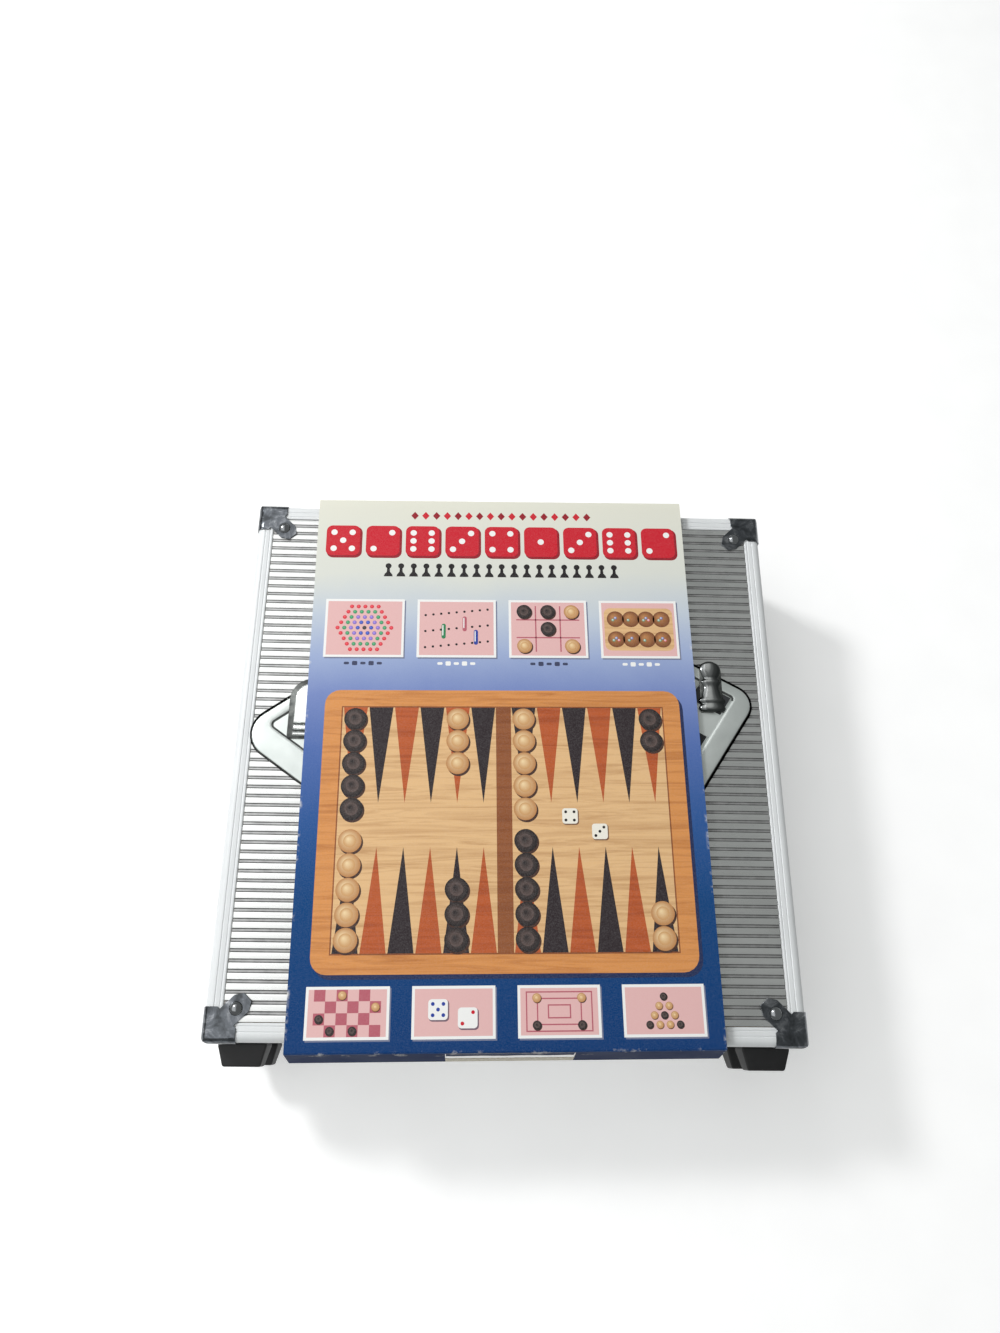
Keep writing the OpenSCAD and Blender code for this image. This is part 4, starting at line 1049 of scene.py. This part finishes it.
# The pips of each face of a die, in columns and rows from its middle.
PIPS = {
    1: [(0, 0)],
    2: [(-1, -1), (1, 1)],
    3: [(-1, -1), (0, 0), (1, 1)],
    4: [(-1, -1), (1, -1), (-1, 1), (1, 1)],
    5: [(-1, -1), (1, -1), (0, 0), (-1, 1), (1, 1)],
    6: [(-1, -1), (1, -1), (-1, 0), (1, 0), (-1, 1), (1, 1)],
}


def print_die(art, cx, cy, side, value, layer, face=RED, edge=DEEP_RED, pip=WHITE):
    art.rect(cx + side * 0.05, cy - side * 0.06, side * 1.04, side * 1.04, layer, edge, r=side * 0.2)
    art.rect(cx, cy, side, side, layer + 1, face, r=side * 0.18)
    for px, py in PIPS[value]:
        art.disc(cx + px * side * 0.27, cy + py * side * 0.27, side * 0.095, layer + 2, pip, steps=14)


def print_counter(art, cx, cy, r, dark, layer):
    rim, core = (BLACK, srgb(96, 80, 76)) if dark else (srgb(190, 132, 78), srgb(248, 220, 172))
    art.disc(cx + r * 0.12, cy - r * 0.16, r * 1.02, layer, srgb(70, 44, 34))
    art.disc(cx, cy, r, layer + 1, rim, core)
    art.disc(cx, cy, r * 0.55, layer + 2, core if dark else srgb(206, 154, 98), rim if dark else core)


def print_counters(art, cx, cy, step_x, step_y, r, layer, dark, light):
    """Counters at steps from a middle, first the dark ones and then the light."""
    for is_dark, places in ((True, dark), (False, light)):
        for i, j in places:
            print_counter(art, cx + i * step_x, cy + j * step_y, r, is_dark, layer)


def print_pawn(art, cx, cy, tall, layer, color):
    half = [(0.3, 0.0), (0.255, 0.16), (0.108, 0.34), (0.09, 0.62)]
    right = [(cx + w * tall, cy + up * tall) for w, up in half]
    left = [(cx - w * tall, cy + up * tall) for w, up in reversed(half)]
    art.prism(right + left, layer, color)
    art.disc(cx, cy + tall * 0.78, tall * 0.2, layer, color, steps=16)


def print_title(art):
    """In the title's place: a band of red dice between a red line of lozenges and a row of small pawns."""
    for k in range(17):
        x = -56 + k * 7
        art.prism([(x - 2.4, 156.5), (x, 153.6), (x + 2.4, 156.5), (x, 159.4)], 0, RED if k % 2 else DEEP_RED)
    for k in range(9):
        print_die(art, -101.6 + k * 25.4, 138, 21.5, (5, 2, 6, 3, 4, 1, 3, 6, 2)[k], 0)
    for k in range(19):
        print_pawn(art, -72 + k * 8, 112.5, 9.5, 0, BLACK)


def print_board(art):
    """A race board seen from straight above: wooden rim, two leaves of points, and its counters."""
    cx, cy, w, h, rim, bar = 0, -46, 214, 164, 11, 9
    art.rect(cx + 2, cy - 2.5, w, h, 0, srgb(24, 40, 84), r=9)
    art.rect(cx, cy, w, h, 1, RIM_WOOD, WOOD_INK, r=9)
    art.rect(cx, cy, w - 2 * rim + 1.6, h - 2 * rim + 1.6, 2, BROWN, WOOD_INK)
    leaf_w, leaf_h = (w - 2 * rim - bar) / 2, h - 2 * rim
    point_w = leaf_w / 6
    r = point_w * 0.44

    def foot_of(side, k, up):
        """Where point k of a leaf stands on the rim, at its upper or lower side."""
        return cx + side * (leaf_w + bar) / 2 - leaf_w / 2 + (k + 0.5) * point_w, cy + up * leaf_h / 2

    for side in (-1, 1):
        art.rect(cx + side * (leaf_w + bar) / 2, cy, leaf_w, leaf_h, 3, TAN, WOOD_INK)
        for k in range(6):
            for up in (-1, 1):
                x, edge = foot_of(side, k, up)
                tip = edge - up * leaf_h * 0.41
                points = [(x - point_w * 0.47, edge), (x + point_w * 0.47, edge), (x, tip)]
                dark = (k + (up > 0) + (side > 0)) % 2 == 0
                color, kind = (srgb(44, 34, 38), PLAIN_INK) if dark else (srgb(190, 92, 44), WOOD_INK)
                art.prism(points[::-up], 4, color, kind)
    places = {(-1, 0, 1): (5, True), (-1, 4, 1): (3, False), (1, 0, 1): (5, False), (1, 5, 1): (2, True),
              (-1, 0, -1): (5, False), (-1, 4, -1): (3, True), (1, 0, -1): (5, True), (1, 5, -1): (2, False)}
    for (side, number, up), (count, dark) in places.items():
        x, edge = foot_of(side, number, up)
        for k in range(count):
            print_counter(art, x, edge - up * (r + 0.4 + k * (2 * r + 0.25)), r, dark, 5)
    for x, y, value in ((38, 5, 4), (55, -4, 3)):
        print_die(art, cx + x, cy + y, 9, value, 5, srgb(244, 240, 228), srgb(120, 84, 60), BLACK)


def print_panel(art, cx, cy, w, h):
    """A small inset picture's white border and its pink ground."""
    art.rect(cx + 0.8, cy - 0.9, w + 3, h + 3, 0, srgb(118, 124, 150))
    art.rect(cx, cy, w + 3, h + 3, 1, WHITE)
    art.rect(cx, cy, w, h, 2, PINK)


def caption_marks(art, cx, cy, color):
    for k in (-2, -1, 0, 1, 2):
        art.rect(cx + k * 5, cy, 3.2, 1.7 + 1.1 * (k % 2), 0, color, r=0.7)


def panel_crosses(art, cx, cy, w, h):
    for k in (-1, 1):
        art.rect(cx + k * w / 6, cy, 0.8, h * 0.86, 3, DUSKY)
        art.rect(cx, cy + k * h / 6, w * 0.86, 0.8, 3, DUSKY)
    dark, light = ((-1, 1), (0, 0), (0, 1)), ((1, 1), (1, -1), (-1, -1))
    print_counters(art, cx, cy, w / 3.1, h / 3.1, h * 0.13, 4, dark, light)


def panel_pegs(art, cx, cy, w, h):
    for row in range(3):
        for k in range(9):
            x, y = cx - w * 0.42 + k * w * 0.105, cy + (row - 1) * h * 0.3 + k * 0.5 - 2
            art.disc(x, y, 0.8, 3, BLACK, steps=10)
    for x, y, color in ((-8, -2, GREEN), (5, 3, DUSKY), (12, -6, BLUE)):
        art.rect(cx + x, cy + y, 2.6, 10, 4, color, r=1.2)
        art.rect(cx + x - 0.5, cy + y + 0.6, 0.7, 7, 5, WHITE, r=0.3)


def panel_star(art, cx, cy, _, h):
    step = h * 0.1
    for q in range(-4, 5):
        for s in range(-4, 5):
            x, y = (q + s * 0.5) * step * 1.15, s * step
            reach = max(abs(q), abs(s), abs(q + s))
            if reach <= 4:
                color = (BLACK, BLUE, VIOLET, GREEN, RED)[reach]
                core = tuple(min(1, c * 2 + 0.1) for c in color)
                art.disc(cx + x, cy + y, step * 0.36, 3, color, core, steps=12)


def panel_pits(art, cx, cy, w, h):
    art.rect(cx, cy, w * 0.94, h * 0.8, 3, TAN, kind=WOOD_INK, r=4)
    for row in (-1, 1):
        for k in range(4):
            x, y = cx + (k - 1.5) * w * 0.21, cy + row * h * 0.19
            art.disc(x, y, h * 0.15, 4, srgb(120, 70, 40), srgb(196, 136, 84))
            for m in range((k * 2 + row) % 3 + 1):
                color = (GREEN, BLUE, RED)[m]
                art.disc(x + (m - 1) * 1.6, y + (m % 2) * 1.4 - 0.6, 1.0, 5, color, WHITE, steps=12)


def panel_dice(art, cx, cy, w, h):
    for x, y, value, pip in ((-0.2, 0.06, 5, BLUE), (0.18, -0.12, 2, RED)):
        print_die(art, cx + x * w, cy + y * h, h * 0.44, value, 3, WHITE, srgb(120, 96, 110), pip)


def panel_squares(art, cx, cy, w, h):
    for k, share in enumerate((0.86, 0.58, 0.3)):
        art.rect(cx, cy, w * share, h * share, 3 + 2 * k, DUSKY)
        art.rect(cx, cy, w * share - 1.4, h * share - 1.4, 4 + 2 * k, PINK)
    dark, light = ((-1, -1), (1, -1)), ((1, 1), (-1, 1))
    print_counters(art, cx, cy, w * 0.29, h * 0.29, h * 0.1, 9, dark, light)


def panel_draughts(art, cx, cy, _, h):
    side = h / 4
    for i in range(6):
        for j in range(4):
            if (i + j) % 2:
                art.rect(cx + (i - 2.5) * side, cy + (j - 1.5) * side, side, side, 3, DUSKY)
    dark, light = ((0, 1), (3, 0), (1, 0)), ((2, 3), (5, 2))
    print_counters(art, cx - 2.5 * side, cy - 1.5 * side, side, side, side * 0.38, 4, dark, light)


def panel_triangle(art, cx, cy, _, h):
    step = h * 0.2
    for row in range(4):
        for k in range(row + 1):
            x, y = cx + (k - row / 2) * step * 1.15, cy + h * 0.3 - row * step
            print_counter(art, x, y, step * 0.42, (row + k) % 3 == 0, 3)


def print_card(mats):
    """The whole print: title, board and two rows of small pictures."""
    art = Print()
    print_title(art)
    print_board(art)
    columns = [-85.5 + k * 57 for k in range(4)]
    rows = (
        (77, 46, 36, (panel_star, panel_pegs, panel_crosses, panel_pits)),
        (-147.5, 42, 24, (panel_draughts, panel_dice, panel_squares, panel_triangle)),
    )
    for cy, w, h, panels in rows:
        for cx, draw in zip(columns, panels):
            print_panel(art, cx, cy, w, h)
            draw(art, cx, cy, w, h)
    for k, cx in enumerate(columns):
        caption_marks(art, cx, 53.5, WHITE if k % 2 else srgb(60, 66, 96))
    art.build(mats)


# ---- stage

def add_floor():
    """A white floor that takes the case's shadow, and glows a little where the camera or a mirror sees it."""
    made = Shader("floor_paint", (0.9, 0.9, 0.9), roughness=0.9)
    made.mottle(30.0, (0.90,) * 3, (0.93,) * 3, rough=0.5)
    rays = made.node("ShaderNodeLightPath").outputs
    seen = made.math("ADD", rays["Is Camera Ray"], rays["Is Glossy Ray"], clamp=True)
    seen = made.math("ADD", seen, rays["Is Transmission Ray"], clamp=True)
    made.put("Emission Color", (1, 1, 1))
    made.put("Emission Strength", made.math("MULTIPLY", seen, 0.28))
    half = 6
    corners = [(-half, -half, 0), (half, -half, 0), (half, half, 0), (-half, half, 0)]
    add_mesh("floor", corners, [cap(0, 4)], [made.mat])


def add_area(name, place, target, size, watts):
    data = bpy.data.lights.new(name, "AREA")
    data.shape = "RECTANGLE"
    data.size, data.size_y = size
    data.energy = watts
    lamp = add_object(name, data)
    lamp.location = place
    lamp.rotation_euler = (Vector(target) - Vector(place)).to_track_quat("-Z", "Y").to_euler()


def add_lights():
    """A wide softbox over the left half of the case; the right half mirrors the dimmer room."""
    world = bpy.data.worlds.new("studio")
    world.use_nodes = True
    background = world.node_tree.nodes["Background"]
    background.inputs["Color"].default_value = (0.31, 0.32, 0.315, 1)
    bpy.context.scene.world = world
    add_area("softbox_left", (-1.55, 0.35, 1.6), (-1.55, 0.35, 0), (2.6, 3.4), 33)
    add_area("key_left", (-1.3, 0.9, 1.5), (0, 0, 0.05), (0.3, 0.3), 20)


# ---- assembly

# The nodes of each body that get rounded edges, and how far, in millimetres.
ROUNDED = {
    "lid": {
        "lid_corner_caps": 0.7, "lid_feet": 1.0, "upper_hinge_leaves": 0.25, "latch_catches": 0.25,
        "lid_rim_profiles": 0.3, "lid_corner_posts": 0.2, "upper_hinge_rivets": 0.1, "lid_rivets": 0.12,
    },
    "base": {
        "base_corner_caps": 0.7, "base_feet": 1.0, "lower_hinge_leaves": 0.25, "latch_plates": 0.25,
        "base_rim_profiles": 0.3, "base_corner_posts": 0.2, "handle_brackets": 0.3,
        "lower_hinge_rivets": 0.1, "hinge_pins": 0.3, "latch_pins": 0.3, "handle_pins": 0.4,
        "dice": 1.6, "card_decks": 1.0, "chess_board": 1.2, "race_board": 1.2, "star_board": 1.2,
        "scoring_board": 1.0, "tray_sides": 0.6, "light_draughts": 0.7, "dark_draughts": 0.7,
    },
    "left_latch": {"left_latch_lever": 0.5},
    "right_latch": {"right_latch_lever": 0.5},
    "handle": {"handle_grip": 1.6},
}


def main():
    add_camera()
    mats = make_materials()
    for name, node in NODES.items():
        node.data.materials.clear()
        node.data.materials.append(mats[SLOT_OF[name]])
    for body, copies in ROUNDED.items():
        for node, width in copies.items():
            look = "inlaid_board" if node == "chess_board" else SLOT_OF[node]
            rounded_copy(node, body, width * MM, mats[look])
    ribbed_sheet("ribbed_lid_sheet", "lid", "lid_top_sheet", mats)
    edge_profiles("lid", LID_FACE, 1, mats)
    edge_profiles("base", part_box("base_edge_profiles")[0].z, -1, mats)
    emblem_plate(mats)
    emblem_pieces(mats)
    lid_card(mats)
    hand_hole_tongue(mats)
    print_card(mats)
    add_floor()
    add_lights()
    bpy.context.scene.view_settings.view_transform = "Standard"


main()
